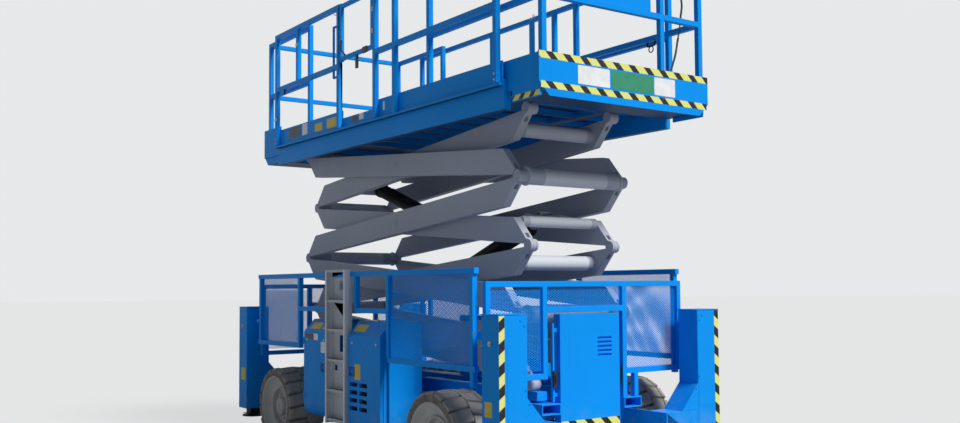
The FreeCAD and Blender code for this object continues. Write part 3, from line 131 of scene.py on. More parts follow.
def piece(name, bm, finish, body, edge=0.0, stands_for=()):
    """A finished mesh, painted and riding on its body."""
    bmesh.ops.recalc_face_normals(bm, faces=bm.faces)
    mesh = bpy.data.meshes.new(name)
    bm.to_mesh(mesh)
    bm.free()
    obj = bpy.data.objects.new(name, mesh)
    bpy.context.scene.collection.objects.link(obj)
    mesh.materials.append(finish)
    mesh.shade_smooth()
    if edge:
        soften(obj, edge)
    else:
        mesh.set_sharp_from_angle(angle=math.radians(35))
    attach(obj, body)
    if stands_for:
        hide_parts(*stands_for)
    return obj


# Shader sums

class Wire:
    """An output of a shader node that takes part in Python sums."""

    def __init__(self, tree, socket):
        self.tree = tree
        self.socket = socket

    def other(self, output):
        """Another output of the same node."""
        return Wire(self.tree, self.socket.node.outputs[output])

    def _maths(self, operation, *values):
        return self.tree.add("ShaderNodeMath", {"operation": operation}, dict(enumerate(values)))

    def __add__(self, value):
        return self._maths("ADD", self, value)

    def __radd__(self, value):
        return self._maths("ADD", value, self)

    def __sub__(self, value):
        return self._maths("SUBTRACT", self, value)

    def __rsub__(self, value):
        return self._maths("SUBTRACT", value, self)

    def __mul__(self, value):
        return self._maths("MULTIPLY", self, value)

    def __rmul__(self, value):
        return self._maths("MULTIPLY", value, self)

    def __truediv__(self, value):
        return self._maths("DIVIDE", self, value)

    def __rtruediv__(self, value):
        return self._maths("DIVIDE", value, self)

    def __gt__(self, value):
        return self._maths("GREATER_THAN", self, value)

    def __lt__(self, value):
        return self._maths("LESS_THAN", self, value)

    def __abs__(self):
        return self._maths("ABSOLUTE", self)

    def fraction(self):
        return self._maths("FRACT", self)

    def highest(self, value):
        return self._maths("MAXIMUM", self, value)

    def clamped(self):
        return self.tree.add("ShaderNodeClamp", None, {0: self})

    def step(self, low, high):
        """Rises smoothly from 0 at low to 1 at high."""
        return self.tree.add("ShaderNodeMapRange", {"interpolation_type": "SMOOTHSTEP"},
                             {0: self, 1: low, 2: high, 3: 0.0, 4: 1.0})


class Tree:
    """The node tree of a material or a world, under construction."""

    def __init__(self, owner):
        owner.use_nodes = True
        self.tree = owner.node_tree
        self.tree.nodes.clear()

    def add(self, kind, settings=None, inputs=None, output=0):
        """Any node: its settings first, then the values or wires of its sockets."""
        node = self.tree.nodes.new(kind)
        for key, value in (settings or {}).items():
            setattr(node, key, value)
        for key, value in (inputs or {}).items():
            if isinstance(value, Wire):
                self.tree.links.new(value.socket, node.inputs[key])
            elif node.inputs[key].type == "RGBA":
                node.inputs[key].default_value = (*value, 1.0)
            else:
                node.inputs[key].default_value = value
        return None if output is None else Wire(self, node.outputs[output])

    def mix(self, factor, first, second):
        """One colour fading into another."""
        return self.add("ShaderNodeMix", {"data_type": "RGBA"}, {0: factor, 6: first, 7: second}, output=2)


class Finish(Tree):
    """One material under construction."""

    def __init__(self, name):
        self.material = bpy.data.materials.new(name)
        super().__init__(self.material)
        self.place = self.add("ShaderNodeTexCoord", output="Object")
        split = self.add("ShaderNodeSeparateXYZ", None, {0: self.place})
        self.x, self.y, self.z = split, split.other(1), split.other(2)

    def noise(self, scale, detail=3.0, roughness=0.5, place=None):
        """Cloudy noise of so many lumps a metre."""
        return self.add("ShaderNodeTexNoise", None, {
            "Vector": place or self.place, "Scale": scale, "Detail": detail, "Roughness": roughness})

    def patches(self, scale, detail, low, high, roughness=0.5):
        """Noise pulled apart: 0 where it is under low, 1 where it is over high."""
        return self.noise(scale, detail, roughness).step(low, high)

    def bump(self, height, distance, strength=1.0):
        return self.add("ShaderNodeBump", None,
                        {"Height": height, "Distance": distance, "Strength": strength})

    def facing(self, way):
        """1 on level tops with a way of 1, or on undersides with -1, and 0 on walls."""
        normal = self.add("ShaderNodeTexCoord", output="Normal")
        upward = self.add("ShaderNodeSeparateXYZ", None, {0: normal}, output=2)
        return (upward * way).step(0.35, 0.9)

    def surface(self, **values):
        """Closes the tree with a shader; socket names are written with underscores."""
        inputs = {key.replace("_", " "): value for key, value in values.items()}
        shader = self.add("ShaderNodeBsdfPrincipled", None, inputs)
        self.add("ShaderNodeOutputMaterial", None, {"Surface": shader}, output=None)
        return self.material


def toned(colour, factor):
    """A colour made darker or lighter."""
    return tuple(c * factor for c in colour)


# Finishes

SEEN_SHINE = 0.09


def machine_paint(name, colour, roughness=0.34, dust_height=0.75, dusty=0.3, tread_above=None,
                  pale_inside=None):
    """Sprayed enamel with faint orange peel, scuffs and runs, dust low down and on level tops."""
    f = Finish(name)
    paints = bpy.context.scene.lift_paint
    body = f.mix(f.patches(0.9, 2.0, 0.3, 0.7), toned(colour, 0.93), colour)
    if pale_inside is not None:
        body = f.mix(abs(f.y) < pale_inside, body, paints.tube_grey)
    scuff = (f.noise(38.0, 6.0, 0.7) > 0.69) * f.patches(2.3, 2.0, 0.5, 0.62)
    body = f.mix(scuff * 0.3, body, tuple(min(1.0, c * 1.5 + 0.03) for c in colour))
    low = 1.0 - f.z.step(0.15, dust_height)
    patchy = f.patches(7.0, 5.0, 0.42, 0.7, 0.65)
    dust = (low * patchy * dusty + f.facing(1) * patchy * dusty * 0.6).clamped()
    body = f.mix(dust, body, paints.dust)
    streak = f.add("ShaderNodeMapping", None, {"Vector": f.place, "Scale": (14.0, 14.0, 0.8)})
    runs = f.noise(1.6, 4.0, 0.6, streak).step(0.56, 0.76)
    body = f.mix(runs * 0.10, body, (0.02, 0.03, 0.05))
    rough = roughness + dust * 0.4 + f.noise(5.0, 3.0) * 0.12
    if tread_above is not None:
        # painted shade: the decks' down-facing faces are darkened to the shaded underside colour
        body = f.mix(f.facing(-1) * 0.9, body, paints.painted_underside_shade)
        top = f.facing(1) * (f.z > tread_above)
        steel = f.mix(f.patches(4.0, 4.0, 0.35, 0.65), (0.24, 0.25, 0.26), (0.36, 0.36, 0.36))
        body = f.mix(top, body, steel)
        height = tread_bars(f) * top + f.noise(160.0, 2.0) * 0.05
        return f.surface(Base_Color=body, Roughness=rough + top * 0.15, Specular_IOR_Level=SEEN_SHINE,
                         Normal=f.bump(height, 0.0016, 0.9))
    peel = f.noise(160.0, 2.0) * 0.6 + f.noise(900.0, 2.0) * 0.2
    return f.surface(Base_Color=body, Roughness=rough, Specular_IOR_Level=SEEN_SHINE, Coat_Weight=0.02,
                     Coat_Roughness=0.12, Normal=f.bump(peel, 0.0004, 0.3))


def tread_bars(f):
    """The raised bars of tread plate, in pairs that turn from cell to cell."""
    pitch = 0.045
    across, along = f.x / pitch, f.y / pitch
    cell = (((across.fraction() > 0.5) + (along.fraction() > 0.5)) * 0.5).fraction() * 2.0
    u, v = (across * 2.0).fraction() - 0.5, (along * 2.0).fraction() - 0.5
    first = (abs(u + v) < 0.16) * (abs(u - v) < 0.62)
    second = (abs(u - v) < 0.16) * (abs(u + v) < 0.62)
    return first * cell + second * (1.0 - cell)


def rubber():
    """Worn tyre rubber: dusty lug tops, darker walls, fine cracks and caked dirt between the lugs."""
    f = Finish("tyre_rubber_worn")
    reach = f.add("ShaderNodeAttribute", {"attribute_name": "reach"}, output="Fac")
    caked = f.patches(16.0, 6.0, 0.38, 0.66, 0.7)
    tops = reach.step(0.90, 0.975)
    body = f.mix(f.patches(9.0, 4.0, 0.3, 0.7), (0.125, 0.105, 0.096), (0.200, 0.172, 0.158))
    low = f.patches(3.0, 3.0, 0.3, 0.7)
    dirt = (tops * 0.75 + caked * (0.2 + low * 0.25)).clamped()
    body = f.mix(dirt, body, bpy.context.scene.lift_paint.dust)
    cracks = f.add("ShaderNodeTexVoronoi", {"feature": "DISTANCE_TO_EDGE"},
                   {"Vector": f.place, "Scale": 55.0})
    height = cracks.step(0.0, 0.05) * 0.5 + f.noise(220.0, 3.0) * 0.5
    return f.surface(Base_Color=body, Roughness=0.82 + caked * 0.12, Normal=f.bump(height, 0.0012, 0.5))


def bare_metal(name, colour, roughness, metallic=1.0):
    """Machined, chromed or galvanised metal with faint marks."""
    f = Finish(name)
    body = f.mix(f.patches(6.0, 4.0, 0.35, 0.65), toned(colour, 0.8), colour)
    marks = f.noise(120.0, 3.0)
    return f.surface(Base_Color=body, Roughness=roughness + marks * 0.12, Metallic=metallic,
                     Normal=f.bump(marks, 0.0003, 0.3))


def moulded(name, colour, roughness=0.5):
    """Moulded plastic or rubber trim with a fine grain."""
    f = Finish(name)
    body = f.mix(f.patches(20.0, 3.0, 0.3, 0.7), toned(colour, 0.8), colour)
    return f.surface(Base_Color=body, Roughness=roughness + f.noise(12.0) * 0.1,
                     Normal=f.bump(f.noise(700.0, 2.0), 0.0003, 0.4))


def sticker(name, colour):
    """A blank vinyl plate, a little faded and dusty."""
    f = Finish(name)
    fade = f.patches(14.0, 4.0, 0.35, 0.7)
    body = f.mix(fade, toned(colour, 0.90), colour)
    return f.surface(Base_Color=body, Roughness=0.42 + fade * 0.15,
                     Normal=f.bump(f.noise(300.0), 0.0002, 0.3))


def hazard(name, along, start, level, pitch, lean, share=0.56):
    """Yellow and black bands; a yellow one begins at start on its axis at a level, and leans as it rises."""
    f = Finish(name)
    ahead = f.x if along == "x" else f.y
    band = ((ahead - start + (f.z - level) * lean) / pitch).fraction()
    dark = band.step(share - 0.015, share + 0.015) * (1.0 - band.step(0.97, 1.0))
    worn = f.noise(22.0, 5.0, 0.7).step(0.55, 0.75) * 0.25
    body = f.mix(dark, bpy.context.scene.lift_paint.band_yellow, (0.018, 0.017, 0.018))
    body = f.mix(worn, body, (0.36, 0.35, 0.27))
    return f.surface(Base_Color=body, Roughness=0.45 + worn, Specular_IOR_Level=0.3)


def make_finishes():
    """Every finish of the machine, by a plain name."""
    paints = bpy.context.scene.lift_paint
    return {
        "blue": machine_paint("blue_enamel", paints.body_blue),
        "blue_deck": machine_paint("blue_enamel_and_tread", paints.body_blue, tread_above=3.078),
        "arm": machine_paint("grey_arm_enamel", paints.arm_grey, 0.42, pale_inside=0.33),
        "pale": machine_paint("pale_grey_enamel", paints.pale_grey, 0.42),
        "rim": machine_paint("rim_enamel", (0.62, 0.60, 0.57), 0.5, 1.4, 0.5),
        "dark": machine_paint("black_enamel", (0.022, 0.022, 0.024), 0.4),
        "cast": bare_metal("dark_castings", (0.055, 0.055, 0.06), 0.55, 0.6),
        "chrome": bare_metal("hard_chrome", (0.72, 0.73, 0.74), 0.12),
        "zinc": bare_metal("zinc_plate", (0.42, 0.42, 0.40), 0.38),
        "plastic": moulded("black_moulding", (0.022, 0.022, 0.024)),
        "sheath": moulded("cable_sheath", (0.030, 0.030, 0.034), 0.45),
        "red": moulded("red_knob", (0.55, 0.02, 0.015), 0.35),
        "yellow_knob": moulded("yellow_collar", (0.75, 0.5, 0.03), 0.4),
        "rubber": rubber(),
        "band_front": hazard("hazard_bands_on_end_plate", "y", -0.880, 3.25, 0.164, 1.0),
        "band_low": hazard("hazard_bands_low_on_end_plate", "y", -0.938, 3.25, 0.164, 1.0),
        "band_rear": hazard("hazard_bands_on_rear_plate", "y", -0.888, 3.25, 0.164, -1.0),
        "band_box": hazard("hazard_bands_on_front_box", "y", -0.300, 0.50, 0.17, 1.0),
        "band_right": hazard("hazard_bands_on_right_posts", "y", -1.311, 1.295, 0.2164, -1.37, 0.5),
        "band_left": hazard("hazard_bands_on_left_posts", "y", 0.987, 1.335, 0.2164, 1.37, 0.5),
        "band_cheek": hazard("hazard_bands_on_cheeks", "x", 2.14, 2.99, 0.124, -0.8),
        "white": sticker("blank_white_plate", (0.96, 0.96, 0.95)),
        "green": sticker("blank_green_plate", (0.03, 0.30, 0.16)),
        "yellow": sticker("blank_yellow_plate", (0.78, 0.56, 0.05)),
        "ink": sticker("blank_dark_plate", (0.03, 0.035, 0.045)),
    }


FINISHES = {}


# User settings

def colour_setting(name, description, default):
    """A colour that the user can change."""
    return FloatVectorProperty(name=name, description=description, subtype="COLOR", size=3, min=0, max=1,
                               default=default)


def length_setting(name, description, default):
    """A length that the user can change."""
    return FloatProperty(name=name, description=description, unit="LENGTH", default=default)


class LiftPaint(bpy.types.PropertyGroup):
    """Colours of the machine."""
    body_blue: colour_setting("Body blue", "Enamel of the chassis and the platform", (0.004, 0.340, 0.980))
    arm_grey: colour_setting("Arm grey", "Enamel of the scissor arms", (0.530, 0.560, 0.630))
    pale_grey: colour_setting("Pale grey", "Enamel of the ladder", (0.66, 0.68, 0.72))
    tube_grey: colour_setting("Tube grey", "Enamel of the cross tubes between the arms", (0.74, 0.76, 0.80))
    # painted shade: the dark colour given to the decks' undersides stands in for the shade under them
    painted_underside_shade: colour_setting("Underside shade", "Dark film on the undersides of the decks", (0.020, 0.045, 0.095))
    dust: colour_setting("Dust", "Dry road dust on tyres and level faces", (0.42, 0.385, 0.335))
    band_yellow: colour_setting("Band yellow", "Light bands of the hazard stripes", (0.88, 0.86, 0.24))


class LiftTyre(bpy.types.PropertyGroup):
    """Sizes of a tyre."""
    radius: length_setting("Radius", "Over the lugs", 0.389)
    carcass: length_setting("Carcass radius", "Under the lugs", 0.361)
    half_width: length_setting("Half width", "From the middle to the outer wall", 0.191)
    bead: length_setting("Bead radius", "Where the tyre meets the rim's flange", 0.290)
    lugs: IntProperty(name="Lugs", description="In each of the two rows", min=8, default=18)
    middle: length_setting("Middle plane", "Of each tyre, from the machine's middle", 0.948)


class LiftMesh(bpy.types.PropertyGroup):
    """Sizes of the expanded mesh in the cage."""
    diamond_length: length_setting("Diamond length", "Level width of one opening", 0.030)
    diamond_height: length_setting("Diamond height", "Upright height of one opening", 0.0185)
    strand: length_setting("Strand width", "Width of each strand", 0.0044)


class LiftCable(bpy.types.PropertyGroup):
    """Sizes of the control box's cable."""
    diameter: length_setting("Diameter", "Of the cable", 0.012)
    length: length_setting("Length", "From gland to gland", 0.852)


class LiftStage(bpy.types.PropertyGroup):
    """Light and floor."""
    key_strength: FloatProperty(name="Key light", description="Strength of the large soft key light",
                                default=3.05)
    key_angle: FloatProperty(name="Key softness", description="Angle across the key light", subtype="ANGLE",
                             default=math.radians(16))
    sky: FloatProperty(name="Sky", description="Strength of the pale surroundings", default=0.17)
    backdrop: FloatProperty(name="Backdrop", description="Level of the background in view", default=0.82)
    floor: colour_setting("Floor", "Colour of the floor", (0.44, 0.44, 0.44))


# Stage

class LIFT_OT_stage(bpy.types.Operator):
    """Camera at the photograph's angle, pale floor and soft light"""
    bl_idname = "lift.stage"
    bl_label = "Stage"

    FLOOR_RADIUS = 140
    TO_THE_SUN = (0.68, 0.16, 0.72)

    def execute(self, context):
        sizes = context.scene.lift_stage
        add_camera(context)
        bm = bmesh.new()
        bmesh.ops.create_circle(bm, cap_ends=True, segments=64, radius=self.FLOOR_RADIUS)
        mesh = bpy.data.meshes.new("floor")
        bm.to_mesh(mesh)
        bm.free()
        floor = bpy.data.objects.new("floor", mesh)
        context.scene.collection.objects.link(floor)
        mesh.materials.append(floor_finish(sizes))
        data = bpy.data.lights.new("key", "SUN")
        data.energy = sizes.key_strength
        data.angle = sizes.key_angle
        lamp = bpy.data.objects.new("key", data)
        lamp.rotation_euler = Vector(self.TO_THE_SUN).to_track_quat("Z", "Y").to_euler()
        context.scene.collection.objects.link(lamp)
        context.scene.world = surroundings(sizes)
        context.scene.view_settings.view_transform = "Standard"
        return {"FINISHED"}


def add_camera(context):
    """Stands where the photograph was taken from, with its focal length."""
    yaw, pitch, roll = math.radians(144.611), math.radians(2.914), math.radians(-0.394)
    ahead = Vector((math.cos(pitch) * math.cos(yaw), math.cos(pitch) * math.sin(yaw), math.sin(pitch)))
    level = Vector((math.sin(yaw), -math.cos(yaw), 0))
    upright = level.cross(ahead)
    right = math.cos(roll) * level + math.sin(roll) * upright
    top = math.cos(roll) * upright - math.sin(roll) * level
    data = bpy.data.cameras.new("camera")
    data.sensor_width = 36.0
    data.lens = 37.5
    data.shift_y = 0.0257
    data.clip_end = 500
    camera = bpy.data.objects.new("camera", data)
    turn = Matrix((right, top, -ahead)).transposed()
    camera.matrix_world = Matrix.Translation((8.021, -5.354, 1.587)) @ turn.to_4x4()
    context.scene.collection.objects.link(camera)
    context.scene.camera = camera


def floor_finish(sizes):
    """A pale floor: what the camera sees of it is lifted to the backdrop's level, and keeps its shadows."""
    f = Finish("pale_floor")
    tint = f.mix(f.patches(0.6, 4.0, 0.3, 0.7), toned(sizes.floor, 0.98), sizes.floor)
    matt = f.add("ShaderNodeBsdfDiffuse", None, {"Color": tint})
    glow = f.add("ShaderNodeEmission", None, {"Color": (1.0, 1.0, 1.0), "Strength": 1.0})
    seen = f.add("ShaderNodeLightPath", output="Is Camera Ray")
    shown = f.add("ShaderNodeMixShader", None, {0: seen * 0.66, 1: matt, 2: glow})
    f.add("ShaderNodeOutputMaterial", None, {"Surface": shown}, output=None)
    return f.material


def surroundings(sizes):
    """Plain pale surroundings, with the backdrop's level where the camera or a reflection sees them."""
    world = bpy.data.worlds.new("surroundings")
    sky = Tree(world)
    camera = sky.add("ShaderNodeLightPath", output="Is Camera Ray")
    seen = camera.highest(camera.other("Is Glossy Ray"))
    level = sky.add("ShaderNodeMapRange", None, {0: seen, 3: sizes.sky, 4: sizes.backdrop})
    tint = sky.mix(seen, (0.66, 0.82, 1.0), (0.97, 0.99, 1.0))
    light = sky.add("ShaderNodeBackground", None, {"Color": tint, "Strength": level})
    sky.add("ShaderNodeOutputWorld", None, {"Surface": light}, output=None)
    return world


# Control cable

class LIFT_OT_control_cable(bpy.types.Operator):
    """Cable that hangs from the control box to the roll-out deck, with its curly wrap and sleeve"""
    bl_idname = "lift.control_cable"
    bl_label = "Control cable"

    ROUTE = ((2.360, 0.712, 4.025), (2.360, 0.712, 3.965), (2.365, 0.722, 3.890), (2.362, 0.706, 3.800),
             (2.367, 0.684, 3.690), (2.362, 0.662, 3.580), (2.366, 0.634, 3.470), (2.360, 0.600, 3.375),
             (2.362, 0.572, 3.310), (2.361, 0.560, 3.255), (2.361, 0.560, 3.195))
    # the curve's box takes in each point's own radius, so that one is small and the bevel makes up for it
    POINT_RADIUS = 0.1

    def execute(self, context):
        sizes = context.scene.lift_cable
        curve = bpy.data.curves.new("control_cable_line", "CURVE")
        curve.dimensions = "3D"
        curve.bevel_depth = sizes.diameter / 2 / self.POINT_RADIUS
        curve.bevel_resolution = 5
        curve.resolution_u = 12
        curve.use_fill_caps = True
        spline = curve.splines.new("NURBS")
        spline.points.add(len(self.ROUTE) - 1)
        for point, place in zip(spline.points, self.ROUTE):
            point.co = (*place, 1.0)
            point.radius = self.POINT_RADIUS
        spline.order_u = 3
        spline.use_endpoint_u = True
        cable = bpy.data.objects.new("cable", curve)
        context.scene.collection.objects.link(cable)
        curve.materials.append(FINISHES["sheath"])
        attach(cable, "front_extension")
        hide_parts("control_cable")
        line = cable_line(cable)
        wrap = spiral_wrap(line)
        sleeve = cable_sleeve(line)
        return {"FINISHED"}


def cable_line(cable):
    """Points along the middle of the cable, from its own smooth line."""
    depth = cable.data.bevel_depth
    cable.data.bevel_depth = 0.0
    context = bpy.context
    context.view_layer.update()
    mesh = bpy.data.meshes.new_from_object(cable.evaluated_get(context.evaluated_depsgraph_get()))
    cable.data.bevel_depth = depth
    points = [v.co.copy() for v in mesh.vertices]
    bpy.data.meshes.remove(mesh)
    return points


def walk(points, distance):
    """The point and direction at a distance along a line."""
    for here, there in zip(points, points[1:]):
        run = (there - here).length
        if distance <= run:
            return here.lerp(there, distance / run), (there - here).normalized()
        distance -= run
    return points[-1], (points[-1] - points[-2]).normalized()


def tube_along(name, points, radius, finish):
    """A round tube of one radius over a list of points."""
    bm = bmesh.new()
    rings = []
    for i, point in enumerate(points):
        way = (points[min(i + 1, len(points) - 1)] - points[max(i - 1, 0)]).normalized()
        place = Matrix.Translation(point) @ pointing(way)
        made = bmesh.ops.create_circle(bm, cap_ends=i in (0, len(points) - 1), segments=10, radius=radius,
                                       matrix=place)["verts"]
        rings.append([e for v in made for e in v.link_edges if e.other_vert(v) in made])
    for ring_edges, following in zip(rings, rings[1:]):
        bmesh.ops.bridge_loops(bm, edges=list(set(ring_edges + following)))
    return piece(name, bm, finish, "front_extension")


def spiral_wrap(line):
    """The open plastic spiral on the cable's upper part."""
    turns, steps_a_turn = 17, 12
    start, run = 0.075, 0.17
    coil_radius, wire_radius = 0.0082, 0.0017
    points = []
    for step in range(turns * steps_a_turn + 1):
        centre, way = walk(line, start + run * step / (turns * steps_a_turn))
        side = way.cross(Vector((0, 1, 0))).normalized()
        angle = 2 * math.pi * step / steps_a_turn
        points.append(centre + coil_radius * (math.cos(angle) * side + math.sin(angle) * way.cross(side)))
    return tube_along("cable_spiral_wrap", points, wire_radius, FINISHES["plastic"])


def cable_sleeve(line):
    """The thicker sleeve on the lower part."""
    start, spacing, count, radius = 0.42, 0.02, 15, 0.0085
    points = [walk(line, start + spacing * step)[0] for step in range(count)]
    return tube_along("cable_sleeve", points, radius, FINISHES["sheath"])


# CAD nodes

NODE_LOOKS = (
    # start of the node's name, finish, edge in metres
    ("outer_arms", "arm", 0.005), ("inner_arms", "arm", 0.005), ("lift_cylinder_low_barrel", "dark", 0.002),
    ("lift_cylinder_high_barrel", "dark", 0.002), ("lift_cylinder_low_rod", "chrome", 0.002),
    ("lift_cylinder_high_rod", "chrome", 0.002), ("front_axle", "cast", 0.003), ("rear_axle", "cast", 0.003),
    ("steering_knuckle", "cast", 0.002), ("rim", "rim", 0.003), ("tyre", "rubber", 0.004),
    ("outrigger_leg", "dark", 0.003), ("ladder", "pale", 0.002), ("engine_block", "dark", 0.01),
    ("control_box", "plastic", 0.006), ("control_cable", "sheath", 0.0),
    ("platform_deck", "blue_deck", 0.0015), ("front_extension_deck", "blue_deck", 0.0015),
    ("rear_extension_deck", "blue_deck", 0.0015), ("cage_mesh", "blue", 0.0), ("", "blue", 0.003))


class LIFT_OT_finish_frame(bpy.types.Operator):
    """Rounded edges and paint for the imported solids"""
    bl_idname = "lift.finish_frame"
    bl_label = "Solids' finish"

    WELD_WITHIN = 0.00005
    FLAT_WITHIN = math.radians(0.6)

    def execute(self, context):
        for name, obj in LIFT["nodes"].items():
            look, edge = next((look, edge) for start, look, edge in NODE_LOOKS if name.startswith(start))
            obj.data.materials.clear()
            obj.data.materials.append(FINISHES[look])
            if edge:
                weld = obj.modifiers.new("weld", "WELD")
                weld.merge_threshold = self.WELD_WITHIN
                flats = obj.modifiers.new("flats", "DECIMATE")
                flats.decimate_type = "DISSOLVE"
                flats.angle_limit = self.FLAT_WITHIN
                soften(obj, edge)
        return {"FINISHED"}


# Cage mesh

class LIFT_OT_cage_mesh(bpy.types.Operator):
    """Expanded diamond mesh in the cage's frames"""
    bl_idname = "lift.cage_mesh"
    bl_label = "Cage mesh"

    PANELS = (
        # plane axis, plane position, from along, to along, from z, to z, in millimetres
        (1, 1062.5, -1942.5, -1036.5, 1045, 1688), (1, 1062.5, 742.5, 1942.5, 1000, 1688),
        (0, 2053, -985, -487.5, 918, 1585), (0, 2053, -442.5, 346.5, 1430, 1585),
        (0, 2053, 391.5, 985, 918, 1585))

    def execute(self, context):
        bm = bmesh.new()
        for axis, plane, *edges in self.PANELS:
            for flip in (1, -1):
                diamonds(bm, context.scene.lift_mesh, axis, flip * plane, *edges)
        piece("expanded_mesh", bm, FINISHES["blue"], "chassis", stands_for=("cage_mesh",))
        return {"FINISHED"}


def diamonds(bm, sizes, axis, plane, start, end, bottom, top):
    """One panel: two families of slanted strands, cut square at the frame."""
    thick, overlap = 0.0022, 0.0009
    panel = bmesh.new()
    run, rise = sizes.diamond_length, sizes.diamond_height
    width, tall = (end - start) / 1000, (top - bottom) / 1000
    reach = width + tall * run / rise
    length_of_strand = math.hypot(width, tall) * 1.2 + 0.2
    for family in (1, -1):
        lean = Matrix.Rotation(-family * math.atan2(rise, run), 3, "Y")
        for k in range(int(reach / run) + 2):
            made = bmesh.ops.create_cube(panel, size=1.0)["verts"]
            bmesh.ops.scale(panel, vec=(length_of_strand, thick, sizes.strand), verts=made)
            bmesh.ops.rotate(panel, cent=(0, 0, 0), matrix=lean, verts=made)
            bmesh.ops.translate(panel, vec=(k * run - reach / 2, family * overlap, 0), verts=made)
    for way in ((-1, 0, 0), (1, 0, 0), (0, 0, -1), (0, 0, 1)):
        cut = (way[0] * width / 2, 0, way[2] * tall / 2)
        split = bmesh.ops.bisect_plane(panel, geom=panel.verts[:] + panel.edges[:] + panel.faces[:],
                                       plane_co=cut, plane_no=way, clear_outer=True)
        edges = [g for g in split["geom_cut"] if isinstance(g, bmesh.types.BMEdge)]
        bmesh.ops.holes_fill(panel, edges=edges, sides=0)
    along, height = (start + end) / 2, (bottom + top) / 2
    centre = spot(along, plane, height) if axis == 1 else spot(plane, along, height)
    turn = Matrix.Identity(4) if axis == 1 else Matrix.Rotation(math.radians(90), 4, "Z")
    bmesh.ops.transform(panel, matrix=Matrix.Translation(centre) @ turn, verts=panel.verts)
    joined = bpy.data.meshes.new("panel")
    panel.to_mesh(joined)
    panel.free()
    bm.from_mesh(joined)
    bpy.data.meshes.remove(joined)


# Tyres and wheels

class LIFT_OT_tyres(bpy.types.Operator):
    """Four lugged tyres on turned carcasses"""
    bl_idname = "lift.tyres"
    bl_label = "Tyres"

    def execute(self, context):
        sizes = context.scene.lift_tyre
        for end, side, way in WHEELS:
            low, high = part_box(f"tyre_{end}_{side}")
            centre = Vector(((low.x + high.x) / 2, way * sizes.middle, (low.z + high.z) / 2))
            bm = bmesh.new()
            carcass(bm, sizes)
            lugs(bm, sizes)
            reach = bm.verts.layers.float.new("reach")
            for vert in bm.verts:
                vert[reach] = math.hypot(vert.co.x, vert.co.z) / sizes.radius
            bmesh.ops.translate(bm, vec=centre, verts=bm.verts)
            piece(f"lugged_tyre_{end}_{side}", bm, FINISHES["rubber"], f"wheel_{end}_{side}",
                  0.004, stands_for=(f"tyre_{end}_{side}",))
        return {"FINISHED"}


def carcass(bm, sizes):
    """The tyre's body, turned from half of its section and its mirror."""
    bead, top = sizes.bead, sizes.carcass
    section = (
        # radius, share of the half width
        (bead, 0.70), (bead + 0.006, 0.90), (bead + 0.013, 0.965), (bead + 0.028, 0.99),
        (bead + 0.045, 0.995), (top - 0.011, 0.975), (top - 0.002, 0.90), (top, 0.55), (top, 0.0))
    outline = [Vector((radius, -share * sizes.half_width, 0)) for radius, share in section]
    outline += [Vector((radius, share * sizes.half_width, 0)) for radius, share in reversed(section[:-1])]
    turned(bm, outline, (0, 0, 0), 72)


def lugs(bm, sizes):
    """Two rows of slanted blocks, each with a flap that runs down over the shoulder."""
    pitch = 2 * math.pi / sizes.lugs
    for row in (-1, 1):
        for k in range(sizes.lugs):
            lug(bm, sizes, row, Matrix.Rotation(pitch * (k + row * 0.25), 4, "Y"))


def lug(bm, sizes, row, turn):
    """One tread block and its flap; z points out of the tread, y to the shoulder."""
    slant, upright_at, shoulder_drop = 0.12, 0.06, 0.012
    blocks = (
        # from y, to y, bottom, top, half length at the bottom, half length at the top
        (0.004, 0.150, sizes.carcass - 0.014, sizes.radius, 0.057, 0.052),
        (0.140, sizes.half_width * 0.99, sizes.carcass - 0.030, sizes.radius - 0.002, 0.057, 0.051))
    for y_0, y_1, low, high, half_low, half_high in blocks:
        made = bmesh.ops.create_cube(bm, size=1.0)["verts"]
        for vert in made:
            upper, outer = vert.co.z > 0, vert.co.y > 0
            y = y_1 if outer else y_0
            half = half_high if upper else half_low
            z = high if upper else low
            if upper and outer:
                z -= shoulder_drop
            vert.co = (math.copysign(half, vert.co.x) + slant * (y - upright_at), row * y, z)
        bmesh.ops.transform(bm, matrix=turn, verts=made)


class LIFT_OT_wheel_fittings(bpy.types.Operator):
    """Wheel nuts, hub caps and the rims' flanges"""
    bl_idname = "lift.wheel_fittings"
    bl_label = "Wheel fittings"

    NUTS = 9
    NUT = 0.016
    NUT_RING = 0.122
    NUT_FACE = -0.038
    STUD = 0.007
    STUD_LENGTH = 0.024
    CAP_SCREWS = 6
    CAP_SCREW = 0.007
    CAP_SCREW_RING = 0.046
    CAP_SCREW_FACE = 0.029
    HUB_FACE = 0.116
    HUB = (
        # from, to, radius, segments, end radius
        (-0.03, 0.016, 0.096, 40, 0.088), (0.016, 0.030, 0.088, 40, 0.060), (0.030, 0.036, 0.024, 24, None))

    def execute(self, context):
        middle = context.scene.lift_tyre.middle
        for end, side, way in WHEELS:
            low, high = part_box(f"rim_{end}_{side}")
            hub = Vector(((low.x + high.x) / 2, way * (middle + self.HUB_FACE), (low.z + high.z) / 2))
            out = Vector((0, way, 0))
            bm = bmesh.new()
            bars(bm, hub, out, self.HUB)
            for nut in around(hub + out * self.NUT_FACE, self.NUT_RING, self.NUTS, 0.0):
                bolt(bm, nut, out, self.NUT)
                bar(bm, nut, nut + out * self.STUD_LENGTH, self.STUD, 12)
            face = hub + out * self.CAP_SCREW_FACE
            for screw in around(face, self.CAP_SCREW_RING, self.CAP_SCREWS, 0.5):
                bolt(bm, screw, out, self.CAP_SCREW)
            body = f"wheel_{end}_{side}"
            piece(f"hub_and_nuts_{end}_{side}", bm, FINISHES["rim"], body, 0.001)
            flange = bmesh.new()
            for turned_to in (way, -way):
                rim_flange(flange, Vector((hub.x, way * middle, hub.z)), turned_to)
            piece(f"rim_flange_{end}_{side}", flange, FINISHES["rim"], body)
        return {"FINISHED"}


